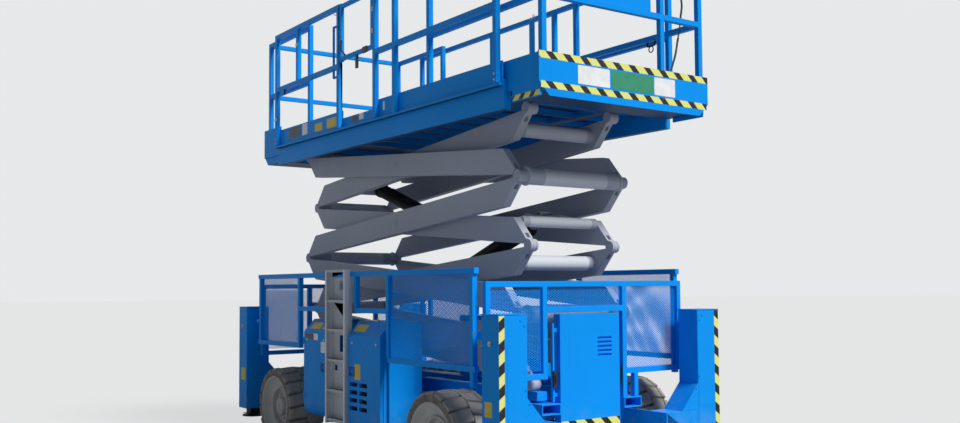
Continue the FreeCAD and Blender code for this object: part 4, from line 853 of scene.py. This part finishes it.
def around(centre, radius, count, share, start=0.0):
    """Points on a ring about an axle along Y, set on by a share of their spacing and by an angle."""
    for k in range(count):
        angle = 2 * math.pi * (k + share) / count + start
        yield centre + Vector((math.cos(angle), 0, math.sin(angle))) * radius


def rim_flange(bm, centre, face):
    """The dished flange between the rim's edge and the tyre's bead, turned about the axle."""
    section = (
        # radius, distance from the tyre's middle
        (0.298, 0.168), (0.306, 0.186), (0.303, 0.192), (0.296, 0.193), (0.290, 0.186), (0.284, 0.160),
        (0.276, 0.136), (0.258, 0.122), (0.228, 0.116), (0.194, 0.114), (0.194, 0.104), (0.262, 0.108))
    turned(bm, [centre + Vector((radius, face * off, 0)) for radius, off in section], centre, 64)


# Hazard bands and blank plates

BANDS = (
    # name, body, low corner, high corner (mm from the chassis middle), finish
    ("front_right_post_bands", "chassis", (2389.5, -1143, 306), (2390.6, -1093, 1380), "band_right"),
    ("front_left_post_bands", "chassis", (2389.5, 1093, 306), (2390.6, 1143, 1380), "band_left"),
    ("rear_right_post_bands", "chassis", (-2390.6, -1143, 306), (-2389.5, -1093, 1380), "band_right"),
    ("rear_left_post_bands", "chassis", (-2390.6, 1093, 306), (-2389.5, 1143, 1380), "band_left"),
    ("front_box_bands", "chassis", (2071.5, -308, 476), (2072.6, 308, 536), "band_box"),
    ("end_plate_top_bands", "front_extension", (2551.5, -884, 3236), (2552.6, 884, 3289), "band_front"),
    ("end_plate_low_bands", "front_extension", (2551.5, -868, 3020), (2552.6, 868, 3070), "band_low"),
    ("right_cheek_bands", "front_extension", (2200, -858.2, 2972), (2524, -856.6, 3013), "band_cheek"),
    ("left_cheek_bands", "front_extension", (2200, 856.6, 2972), (2524, 858.2, 3013), "band_cheek"),
    ("rear_plate_bands", "rear_extension", (-2400.6, -840, 3290), (-2399.5, 840, 3340), "band_rear"),
)


class LIFT_OT_bands(bpy.types.Operator):
    """Yellow and black hazard bands on thin strips"""
    bl_idname = "lift.bands"
    bl_label = "Hazard bands"

    def execute(self, context):
        for name, body, low, high, look in BANDS:
            bm = bmesh.new()
            block(bm, spot(*low), spot(*high))
            piece(name, bm, FINISHES[look], body)
        return {"FINISHED"}


PLATES = (
    # body, finish, middle (mm from the chassis middle), outward direction, width, height in mm
    ("front_extension", "white", (2552, -357, 3154), (1, 0, 0), 318, 140),
    ("front_extension", "green", (2552, 40, 3154), (1, 0, 0), 446, 140),
    ("front_extension", "white", (2552, 388, 3154), (1, 0, 0), 230, 140),
    ("rear_extension", "white", (-2400, -330, 3190), (-1, 0, 0), 240, 110),
    ("rear_extension", "yellow", (-2400, 420, 3190), (-1, 0, 0), 150, 110),
    ("platform", "ink", (-1517, -900, 3222), (0, -1, 0), 276, 105),
    ("platform", "white", (-1270, -900, 3222), (0, -1, 0), 120, 118),
    ("platform", "yellow", (-955, -900, 3200), (0, -1, 0), 165, 80),
    ("platform", "yellow", (-667, -900, 3205), (0, -1, 0), 210, 95),
    ("platform", "ink", (-186, -900, 3184), (0, -1, 0), 125, 56),
    ("platform", "white", (-65, -900, 3184), (0, -1, 0), 85, 60),
    ("platform", "white", (352, -900, 3218), (0, -1, 0), 34, 78),
    ("platform", "ink", (-900, 900, 3227), (0, 1, 0), 96, 46),
    ("platform", "yellow", (300, 900, 3195), (0, 1, 0), 96, 54),
    ("control_bay_door", "ink", (-698, -1120, 1127), (0, -1, 0), 172, 49),
    ("control_bay_door", "white", (-561, -1120, 1127), (0, -1, 0), 90, 62),
    ("control_bay_door", "white", (-410, -1120, 1033), (0, -1, 0), 88, 102),
    ("engine_bay_door", "yellow", (263, -1120, 848), (0, -1, 0), 104, 136),
    ("chassis", "yellow", (-640, -1065, 1230), (0, -0.737, 0.676), 200, 80),
    ("chassis", "yellow", (-420, -1065, 1230), (0, -0.737, 0.676), 130, 80),
    ("chassis", "yellow", (240, -1065, 1230), (0, -0.737, 0.676), 200, 80),
    ("chassis", "yellow", (-2270, -1145, 670), (0, -1, 0), 112, 130),
    ("chassis", "yellow", (2260, -1145, 710), (0, -1, 0), 90, 110),
    ("chassis", "yellow", (-2270, 1145, 670), (0, 1, 0), 112, 130),
    ("chassis", "yellow", (2280, 1145, 600), (0, 1, 0), 90, 110),
)


class LIFT_OT_plates(bpy.types.Operator):
    """Blank plates where the machine carries its signs"""
    bl_idname = "lift.plates"
    bl_label = "Blank plates"

    def execute(self, context):
        groups = {}
        for body, look, middle, out, width, height in PLATES:
            bm = groups.setdefault((body, look), bmesh.new())
            plate(bm, spot(*middle), Vector(out), width / 1000, height / 1000)
        for (body, look), bm in groups.items():
            piece(f"{look}_plates_{body}", bm, FINISHES[look], body, 0.0004)
        return {"FINISHED"}


def plate(bm, middle, out, width, height, thick=0.0012):
    """A thin plate with rounded corners, lying on a face."""
    made = bmesh.ops.create_cube(bm, size=1.0)["verts"]
    bmesh.ops.scale(bm, vec=(width, height, thick), verts=made)
    upright = [e for e in {e for v in made for e in v.link_edges}
               if abs(e.verts[0].co.z - e.verts[1].co.z) > thick / 2]
    corner = min(0.008, width * 0.2, height * 0.2)
    rounded = bmesh.ops.bevel(bm, geom=upright, offset=corner, segments=3, profile=0.5, affect="EDGES",
                              material=-1)
    verts = list({v for f in rounded["faces"] for v in f.verts} | {v for v in made if v.is_valid})
    side = Vector((0, 0, 1)).cross(out).normalized() if abs(out.z) < 0.9 else Vector((1, 0, 0))
    turn = Matrix((side, out.cross(side), out)).transposed().to_4x4()
    bmesh.ops.transform(bm, matrix=Matrix.Translation(middle + out * thick / 2) @ turn, verts=verts)


# Fittings

def ring(bm, centre, axis, radius, wire):
    """A closed ring of round wire."""
    across = Matrix.Translation((radius, 0, 0)) @ Matrix.Rotation(math.radians(90), 4, "X")
    place = Matrix.Translation(centre) @ pointing(Vector(axis)) @ across
    made = bmesh.ops.create_circle(bm, segments=10, radius=wire, matrix=place)["verts"]
    edges = list({e for v in made for e in v.link_edges})
    bmesh.ops.spin(bm, geom=made + edges, cent=centre, axis=axis, angle=2 * math.pi, steps=24,
                   use_merge=True, use_duplicate=False)


def bent_bar(bm, points, radius):
    """A round bar through several points, with a ball at each bend."""
    for start, end in zip(points, points[1:]):
        bar(bm, start, end, radius, 14)
    for point in points[1:-1]:
        dome(bm, point, radius)


def sheet(bm, outline, thick):
    """A flat plate over an outline, as thick as it stands out along X."""
    face = bm.faces.new([bm.verts.new(point) for point in outline])
    made = bmesh.ops.extrude_face_region(bm, geom=[face])["geom"]
    raised = [g for g in made if isinstance(g, bmesh.types.BMVert)]
    bmesh.ops.translate(bm, vec=(thick, 0, 0), verts=raised)


def add_part(bm, kind, flip, *values):
    """One part of a fitting from its row, turned over the planes named in flip."""
    def place(point):
        return spot(point[0] * flip[0], point[1] * flip[1], point[2])

    if kind == "box":
        block(bm, place(values[0]), place(values[1]))
    elif kind == "bar":
        bar(bm, place(values[0]), place(values[1]), values[2] / 1000)
    elif kind == "sheet":
        sheet(bm, [place((values[0], y, z)) for y, z in values[2]], values[1] * flip[0] / 1000)
    elif kind == "bent":
        bent_bar(bm, [place(p) for p in values[0]], values[1] / 1000)
    elif kind == "ring":
        ring(bm, place(values[0]), values[1], values[2] / 1000, values[3] / 1000)
    elif kind == "bolts":
        way = (values[0][0] * flip[0], values[0][1] * flip[1], values[0][2])
        for point in values[2:]:
            bolt(bm, place(point), way, values[1] / 1000)


FITTINGS = (
    # name, body, finish, rounding in mm, mirrored over, parts; all points and sizes in mm
    # box: two corners; bar: two ends, radius; sheet: x, thickness, outline of y and z
    # bent: points, radius; ring: centre, axis, radius, wire; bolts: outward, size, points
    ("housing_lids", "chassis", "blue", 2, "xy", (("box", (2174, 886, 1385), (2393, 1148, 1392)),)),
    ("housing_covers", "chassis", "blue", 0.6, "xy", (
        ("sheet", 2389.5, 2.5, ((893, 600), (893, 1356), (1069, 1188), (1069, 600))),)),
    ("housing_bolts", "chassis", "blue", 0, "xy", (
        ("bolts", (1, 0, 0), 8,
         (2392, 905, 845), (2390, 868, 745), (2390, 950, 1345), (2392, 915, 1306)),)),
    ("leg_pins", "chassis", "zinc", 1, "xy", (
        ("bar", (2285, 1145, 1180), (2285, 1153, 1180), 20),
        ("bar", (2285, 1153, 1180), (2285, 1158, 1180), 9))),
    ("arm_plate_bolts", "chassis", "blue", 0, "y", (
        ("bolts", (0, -1, 0), 9, (2060, 518, 532), (2350, 518, 532), (2060, 518, 440), (2350, 518, 440)),)),
    ("front_box_hinge", "chassis", "dark", 1.5, "", (
        ("box", (2028, 314, 812), (2056, 336, 924)), ("bar", (2062, 326, 800), (2062, 326, 936), 8),
        ("bolts", (0, 1, 0), 8, (2040, 336, 836), (2040, 336, 900)))),
    ("front_box_catch", "chassis", "plastic", 2, "", (
        ("box", (2040, -371, 806), (2066, -343, 930)), ("box", (2066, -364, 838), (2076, -350, 898)))),
    ("cage_feet", "chassis", "zinc", 0, "xy", (
        ("bolts", (0, 1, 0), 9, (2010, 1087, 1245)),)),
    ("work_lamp", "chassis", "zinc", 1.5, "", (
        ("box", (100, -1012, 1291), (430, -988, 1304)),
        ("bolts", (0, 0, 1), 8, (120, -1000, 1304), (410, -1000, 1304)))),
    # painted highlight: white strips on the stiles stand in for the light catching the stiles' edges
    ("ladder_edge_highlights", "chassis", "white", 0.5, "", (
        ("box", (-311, -1148, 352), (-289, -1144, 1753)), ("box", (46, -1148, 352), (68, -1144, 1753)))),
    ("ladder_grips", "chassis", "ink", 1, "", tuple(
        ("box", (-292, -1134 + 19 * strip, top), (49, -1126 + 19 * strip, top + 2))
        for top in (398, 664, 939, 1215, 1480, 1755) for strip in range(3))),
    ("rail_feet", "platform", "zinc", 0, "y", tuple(
        ("bolts", (0, 1, 0), 8, (x, 945, 3145), (x, 945, 3190)) for x in (-1900, 2090))),
    ("grab_handle", "platform", "blue", 0, "", (
        ("bent", ((-478, -922, 4119), (-561, -932, 4119), (-561, -932, 3624), (-478, -922, 3624)), 12),)),
    ("rail_rings", "platform", "zinc", 0, "", (
        ("ring", (-554, -922, 4258), (1, 0, 0), 17, 3.5),
        ("ring", (560, 922, 4260), (1, 0, 0), 17, 3.5))),
    ("rail_hooks", "platform", "dark", 0, "", (
        ("bent", ((-1713, -922, 3700), (-1713, -922, 3668), (-1695, -934, 3645), (-1672, -942, 3660),
                  (-1668, -944, 3682)), 7),
        ("bar", (-1713, -922, 3712), (-1713, -922, 3690), 13))),
    ("rail_clamps", "platform", "zinc", 1.5, "", (
        ("box", (-1928, -949, 3385), (-1872, -943, 3415)), ("bolts", (0, -1, 0), 7, (-1885, -949, 3400)),
        ("box", (-1400, -949, 4100), (-1350, -943, 4128)), ("bolts", (0, -1, 0), 7, (-1362, -949, 4114)),
        ("box", (2064, -949, 3985), (2116, -943, 4015)), ("bolts", (0, -1, 0), 7, (2100, -949, 4000)))),
    ("gate_clips", "platform", "zinc", 1.5, "", (
        ("box", (214, -951, 4096), (238, -943, 4140)), ("box", (214, -951, 3896), (238, -943, 3940)),
        ("bolts", (0, -1, 0), 7, (226, -951, 4118), (226, -951, 3918)))),
    ("gate_latch", "entry_gate", "plastic", 2, "", (
        ("box", (-125, -934, 3640), (-92, -914, 3766)), ("box", (40, -949, 3745), (120, -936, 3805)))),
    ("gate_lever", "entry_gate", "dark", 0, "", (
        ("bent", ((-400, -935, 3960), (-385, -948, 3860), (-300, -948, 3800)), 8),)),
    ("skirts", "front_extension", "blue", 1.5, "y", (("box", (2195, 845, 2966), (2528, 857, 3052)),)),
    ("toe_strap", "front_extension", "blue", 1, "", (("box", (2402, -854, 3284), (2462, -848, 3540)),)),
    ("toe_strap_rings", "front_extension", "zinc", 0, "", (
        ("ring", (2451, -851, 3545), (0, 1, 0), 10, 2.5), ("ring", (2451, -851, 3562), (1, 0, 0), 9, 2.2),
        ("ring", (2416, -851, 3545), (0, 1, 0), 10, 2.5))),
    ("far_rail_hook", "front_extension", "dark", 0, "", (
        ("bent", ((1912, 839, 3712), (1922, 839, 3668), (2004, 839, 3668), (2018, 839, 3712)), 8),
        ("ring", (1962, 839, 3638), (0, 1, 0), 26, 5))),
    ("rear_plate_bolts", "rear_extension", "blue", 0, "y", (
        ("bolts", (-1, 0, 0), 8, (-2400, 790, 3070), (-2400, 790, 3260), (-2400, 120, 3260)),)),
    ("tow_eyes", "chassis", "dark", 0, "y", (
        ("ring", (-2404, 300, 450), (0, 1, 0), 32, 9), ("box", (-2404, 262, 430), (-2388, 338, 470)))),
)


class LIFT_OT_fittings(bpy.types.Operator):
    """Bolts, lids, catches, handles, hooks and small fixtures from the table above"""
    bl_idname = "lift.fittings"
    bl_label = "Fittings"

    def execute(self, context):
        for name, body, look, rounding, mirror, parts in FITTINGS:
            bm = bmesh.new()
            for along in ((1, -1) if "x" in mirror else (1,)):
                for across in ((1, -1) if "y" in mirror else (1,)):
                    for part in parts:
                        add_part(bm, part[0], (along, across), *part[1:])
            piece(name, bm, FINISHES[look], body, rounding / 1000)
        return {"FINISHED"}


DOORS = (
    # bay, hinge edge, way from the hinge into the door, side, lower edge, middle of the latch
    ("control_bay", -820, 1, -1, 472, -400), ("engine_bay", 660, -1, -1, 412, 160),
    ("tank_bay", -820, 1, 1, 472, -190), ("battery_bay", 660, -1, 1, 412, 10),
)


class LIFT_OT_door_fittings(bpy.types.Operator):
    """Hinge leaves, latch frames and quarter-turn screws of the four bays"""
    bl_idname = "lift.door_fittings"
    bl_label = "Door fittings"

    FACE_Y = 1120
    LATCH_Z = 845
    SCREW_Z = 1098
    LEAF = (5, 46, 60, 3)
    LEAF_SCREWS = ((18, 14), (18, 46), (36, 30))
    LATCH_BARS = (
        # middle along, middle up, width, height
        (0, 37, 112, 10), (0, -37, 112, 10), (-51, 0, 10, 64), (51, 0, 10, 64))

    def execute(self, context):
        for name, hinge, way, side, low, latch in DOORS:
            face = side * self.FACE_Y
            out = Vector((0, side, 0))
            leaves, frame, screws = bmesh.new(), bmesh.new(), bmesh.new()
            near, far, tall, thick = self.LEAF
            for z in (low + 60, 1050):
                block(leaves, spot(hinge + way * near, face, z),
                      spot(hinge + way * far, face + side * thick, z + tall))
                for dx, dz in self.LEAF_SCREWS:
                    bolt(leaves, spot(hinge + way * dx, face + side * thick, z + dz), out, 0.005)
            for dx, dz, wide, tall in self.LATCH_BARS:
                x, z = latch + dx, self.LATCH_Z + dz
                block(frame, spot(x - wide / 2, face, z - tall / 2),
                      spot(x + wide / 2, face + side * thick, z + tall / 2))
            bars(frame, spot(latch + 14, face, self.LATCH_Z), out, ((-0.006, -0.002, 0.008, 20, None),))
            for x in (hinge + way * 70, latch):
                bars(screws, spot(x, face, self.SCREW_Z), out, ((0, 0.004, 0.012, 20, 0.010),))
                block(screws, spot(x - 8, face + side * 3.5, self.SCREW_Z - 1.5),
                      spot(x + 8, face + side * 5, self.SCREW_Z + 1.5))
            body = f"{name}_door"
            piece(f"{name}_hinge_leaves", leaves, FINISHES["blue"], body, 0.0006)
            piece(f"{name}_latch_frame", frame, FINISHES["plastic"], body, 0.001)
            piece(f"{name}_screws", screws, FINISHES["zinc"], body, 0.0004)
        return {"FINISHED"}


class LIFT_OT_pin_caps(bpy.types.Operator):
    """Retaining plates and grease nipples over the outer ends of the scissor pins"""
    bl_idname = "lift.pin_caps"
    bl_label = "Pin caps"

    FACE_Y = 578
    CAP = (
        # from, to, radius, segments, end radius
        (0, 0.004, 0.034, 28, None), (0.004, 0.012, 0.0045, 10, None))
    SCREWS = 3
    SCREW_RING = 0.026
    PINS = (
        # body, x, z
        ("chassis", -1865, 820), ("outer_arms_1", 5, 1094), ("outer_arms_1", 1875, 1368),
        ("outer_arms_2", 5, 1642), ("outer_arms_2", -1865, 1917), ("outer_arms_3", 5, 2191),
        ("outer_arms_3", 1875, 2465), ("outer_arms_4", 5, 2739), ("platform", -1865, 3013))

    def execute(self, context):
        groups = {}
        for body, x, z in self.PINS:
            bm = groups.setdefault(body, bmesh.new())
            for side in (-1, 1):
                out = Vector((0, side, 0))
                pin = spot(x, side * self.FACE_Y, z)
                bars(bm, pin, out, self.CAP)
                for screw in around(pin + out * 0.004, self.SCREW_RING, self.SCREWS, 0.0, 0.5):
                    bolt(bm, screw, out, 0.005)
        for body, bm in groups.items():
            piece(f"pin_caps_{body}", bm, FINISHES["arm"], body, 0.0006)
        return {"FINISHED"}


class LIFT_OT_cylinder_fittings(bpy.types.Operator):
    """Gland rings, ports and the hard pipe along each lift cylinder"""
    bl_idname = "lift.cylinder_fittings"
    bl_label = "Cylinder fittings"

    EYES = 0.14
    PORT_AT = 0.20
    FAR_PORT_FROM_END = 0.11
    PORT = (0.02, 0.062, 0.098)
    PIPE_OFF = 0.094
    PIPE_RADIUS = 0.007

    def execute(self, context):
        for level in ("low", "high"):
            body = f"lift_cylinder_{level}_barrel"
            pivot = next(j for j in LIFT["joints"] if j["child"] == body)
            slide = next(j for j in LIFT["joints"] if j["child"] == f"lift_cylinder_{level}_rod")
            base = Vector(pivot["pos_m"])
            way = Vector(slide["axis"]).normalized()
            low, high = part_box(body)
            if way.dot((low + high) / 2 - base) < 0:
                way = -way
            end = math.hypot(high.x - low.x, high.z - low.z) - self.EYES
            bm = bmesh.new()
            bars(bm, base, way, (
                (end - 0.055, end - 0.015, 0.079, 40, None), (end - 0.012, end + 0.008, 0.066, 40, None),
                (0.14, 0.17, 0.078, 40, None)))
            far_port = end - self.FAR_PORT_FROM_END
            half, inner, outer = self.PORT
            for at in (self.PORT_AT, far_port):
                block(bm, base + way * at + Vector((-half, inner, -half)),
                      base + way * at + Vector((half, outer, half)))
            pipe = ((self.PORT_AT, 0.09), (0.26, self.PIPE_OFF),
                    (end - 0.17, self.PIPE_OFF), (far_port, 0.09))
            bent_bar(bm, [base + way * at + Vector((0, off, 0)) for at, off in pipe], self.PIPE_RADIUS)
            piece(f"{level}_cylinder_gland_and_pipe", bm, FINISHES["cast"], body, 0.001)
        return {"FINISHED"}


class LIFT_OT_control_box_fittings(bpy.types.Operator):
    """Joystick, buttons, stop knob, screen and guard of the platform's control box"""
    bl_idname = "lift.control_box_fittings"
    bl_label = "Control box fittings"

    INSET = 0.004
    PANEL = 0.006
    GUARD_OFF = 0.05
    GUARD_WIRE = 0.006
    BUTTON_PITCH = 0.034
    BUTTON = ((0, 0.007, 0.010, 18, 0.009),)
    STICK = ((0, 0.018, 0.024, 24, 0.014), (0.018, 0.06, 0.008, 16, 0.012))
    STICK_BALL = (0.064, 0.016)
    STOP = ((-0.002, 0.013, 0.010, 20, None), (0.012, 0.022, 0.019, 24, 0.016))

    def execute(self, context):
        low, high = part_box("control_box")
        middle = (low + high) / 2
        out = Vector((-1, 0, 0))

        def at(off, y, z):
            """A point so far out of the face that the operator looks at."""
            return Vector((low.x + self.INSET - off, y, z))

        guard, panel, knobs, stop = bmesh.new(), bmesh.new(), bmesh.new(), bmesh.new()
        ends = (low.y + 0.02, high.y - 0.02)
        for y in ends:
            bent_bar(guard, [at(0, y, middle.z + 0.02), at(self.GUARD_OFF, y, middle.z + 0.05),
                             at(self.GUARD_OFF, y, high.z - 0.03), at(0, y, high.z - 0.015)],
                     self.GUARD_WIRE)
        bar(guard, *(at(self.GUARD_OFF, y, high.z - 0.03) for y in ends), self.GUARD_WIRE, 14)
        block(panel, at(self.PANEL, low.y + 0.012, low.z + 0.02), at(0, high.y - 0.012, high.z - 0.03))
        block(panel, at(0.009, middle.y - 0.04, high.z - 0.10), at(0.005, middle.y + 0.04, high.z - 0.055))
        for row in range(3):
            for column in range(3):
                y, z = low.y + 0.04 + self.BUTTON_PITCH * column, low.z + 0.055 + self.BUTTON_PITCH * row
                bars(knobs, at(self.PANEL, y, z), out, self.BUTTON)
        stick = at(self.PANEL, high.y - 0.055, low.z + 0.105)
        bars(knobs, stick, out, self.STICK)
        reach, ball = self.STICK_BALL
        dome(knobs, stick + out * reach, ball)
        bars(stop, at(self.PANEL, high.y - 0.055, low.z + 0.045), out, self.STOP)
        for name, bm, look, edge in (
                ("control_guard", guard, "dark", 0.0), ("control_panel", panel, "ink", 0.001),
                ("control_knobs", knobs, "plastic", 0.0008), ("stop_knob", stop, "red", 0.001)):
            piece(name, bm, FINISHES[look], "front_extension", edge)
        return {"FINISHED"}


CLASSES = (
    LiftPaint, LiftTyre, LiftMesh, LiftCable, LiftStage, LIFT_OT_stage, LIFT_OT_control_cable,
    LIFT_OT_finish_frame, LIFT_OT_cage_mesh, LIFT_OT_tyres, LIFT_OT_wheel_fittings, LIFT_OT_bands,
    LIFT_OT_plates, LIFT_OT_fittings, LIFT_OT_door_fittings, LIFT_OT_pin_caps,
    LIFT_OT_cylinder_fittings, LIFT_OT_control_box_fittings,
)
SETTINGS = (
    ("lift_paint", LiftPaint), ("lift_tyre", LiftTyre), ("lift_mesh", LiftMesh),
    ("lift_cable", LiftCable), ("lift_stage", LiftStage),
)
STEPS = [c for c in CLASSES if issubclass(c, bpy.types.Operator)]


class LIFT_PT_panel(bpy.types.Panel):
    """Steps and settings of the scissor lift"""
    bl_idname = "LIFT_PT_panel"
    bl_label = "Scissor Lift"
    bl_space_type = "VIEW_3D"
    bl_region_type = "UI"
    bl_category = "Scissor Lift"

    def draw(self, context):
        for step in STEPS:
            self.layout.operator(step.bl_idname)
        for name, group in SETTINGS:
            box = self.layout.box()
            for key in group.__annotations__:
                box.prop(getattr(context.scene, name), key)


def register():
    for cls in (*CLASSES, LIFT_PT_panel):
        bpy.utils.register_class(cls)
    for name, group in SETTINGS:
        setattr(bpy.types.Scene, name, PointerProperty(type=group))


def unregister():
    for name, _ in SETTINGS:
        delattr(bpy.types.Scene, name)
    for cls in reversed((*CLASSES, LIFT_PT_panel)):
        bpy.utils.unregister_class(cls)


def main():
    register()
    FINISHES.update(make_finishes())
    for step in STEPS:
        area, name = step.bl_idname.split(".")
        getattr(getattr(bpy.ops, area), name)()
    bpy.context.view_layer.update()


if __name__ == "__main__":
    main()
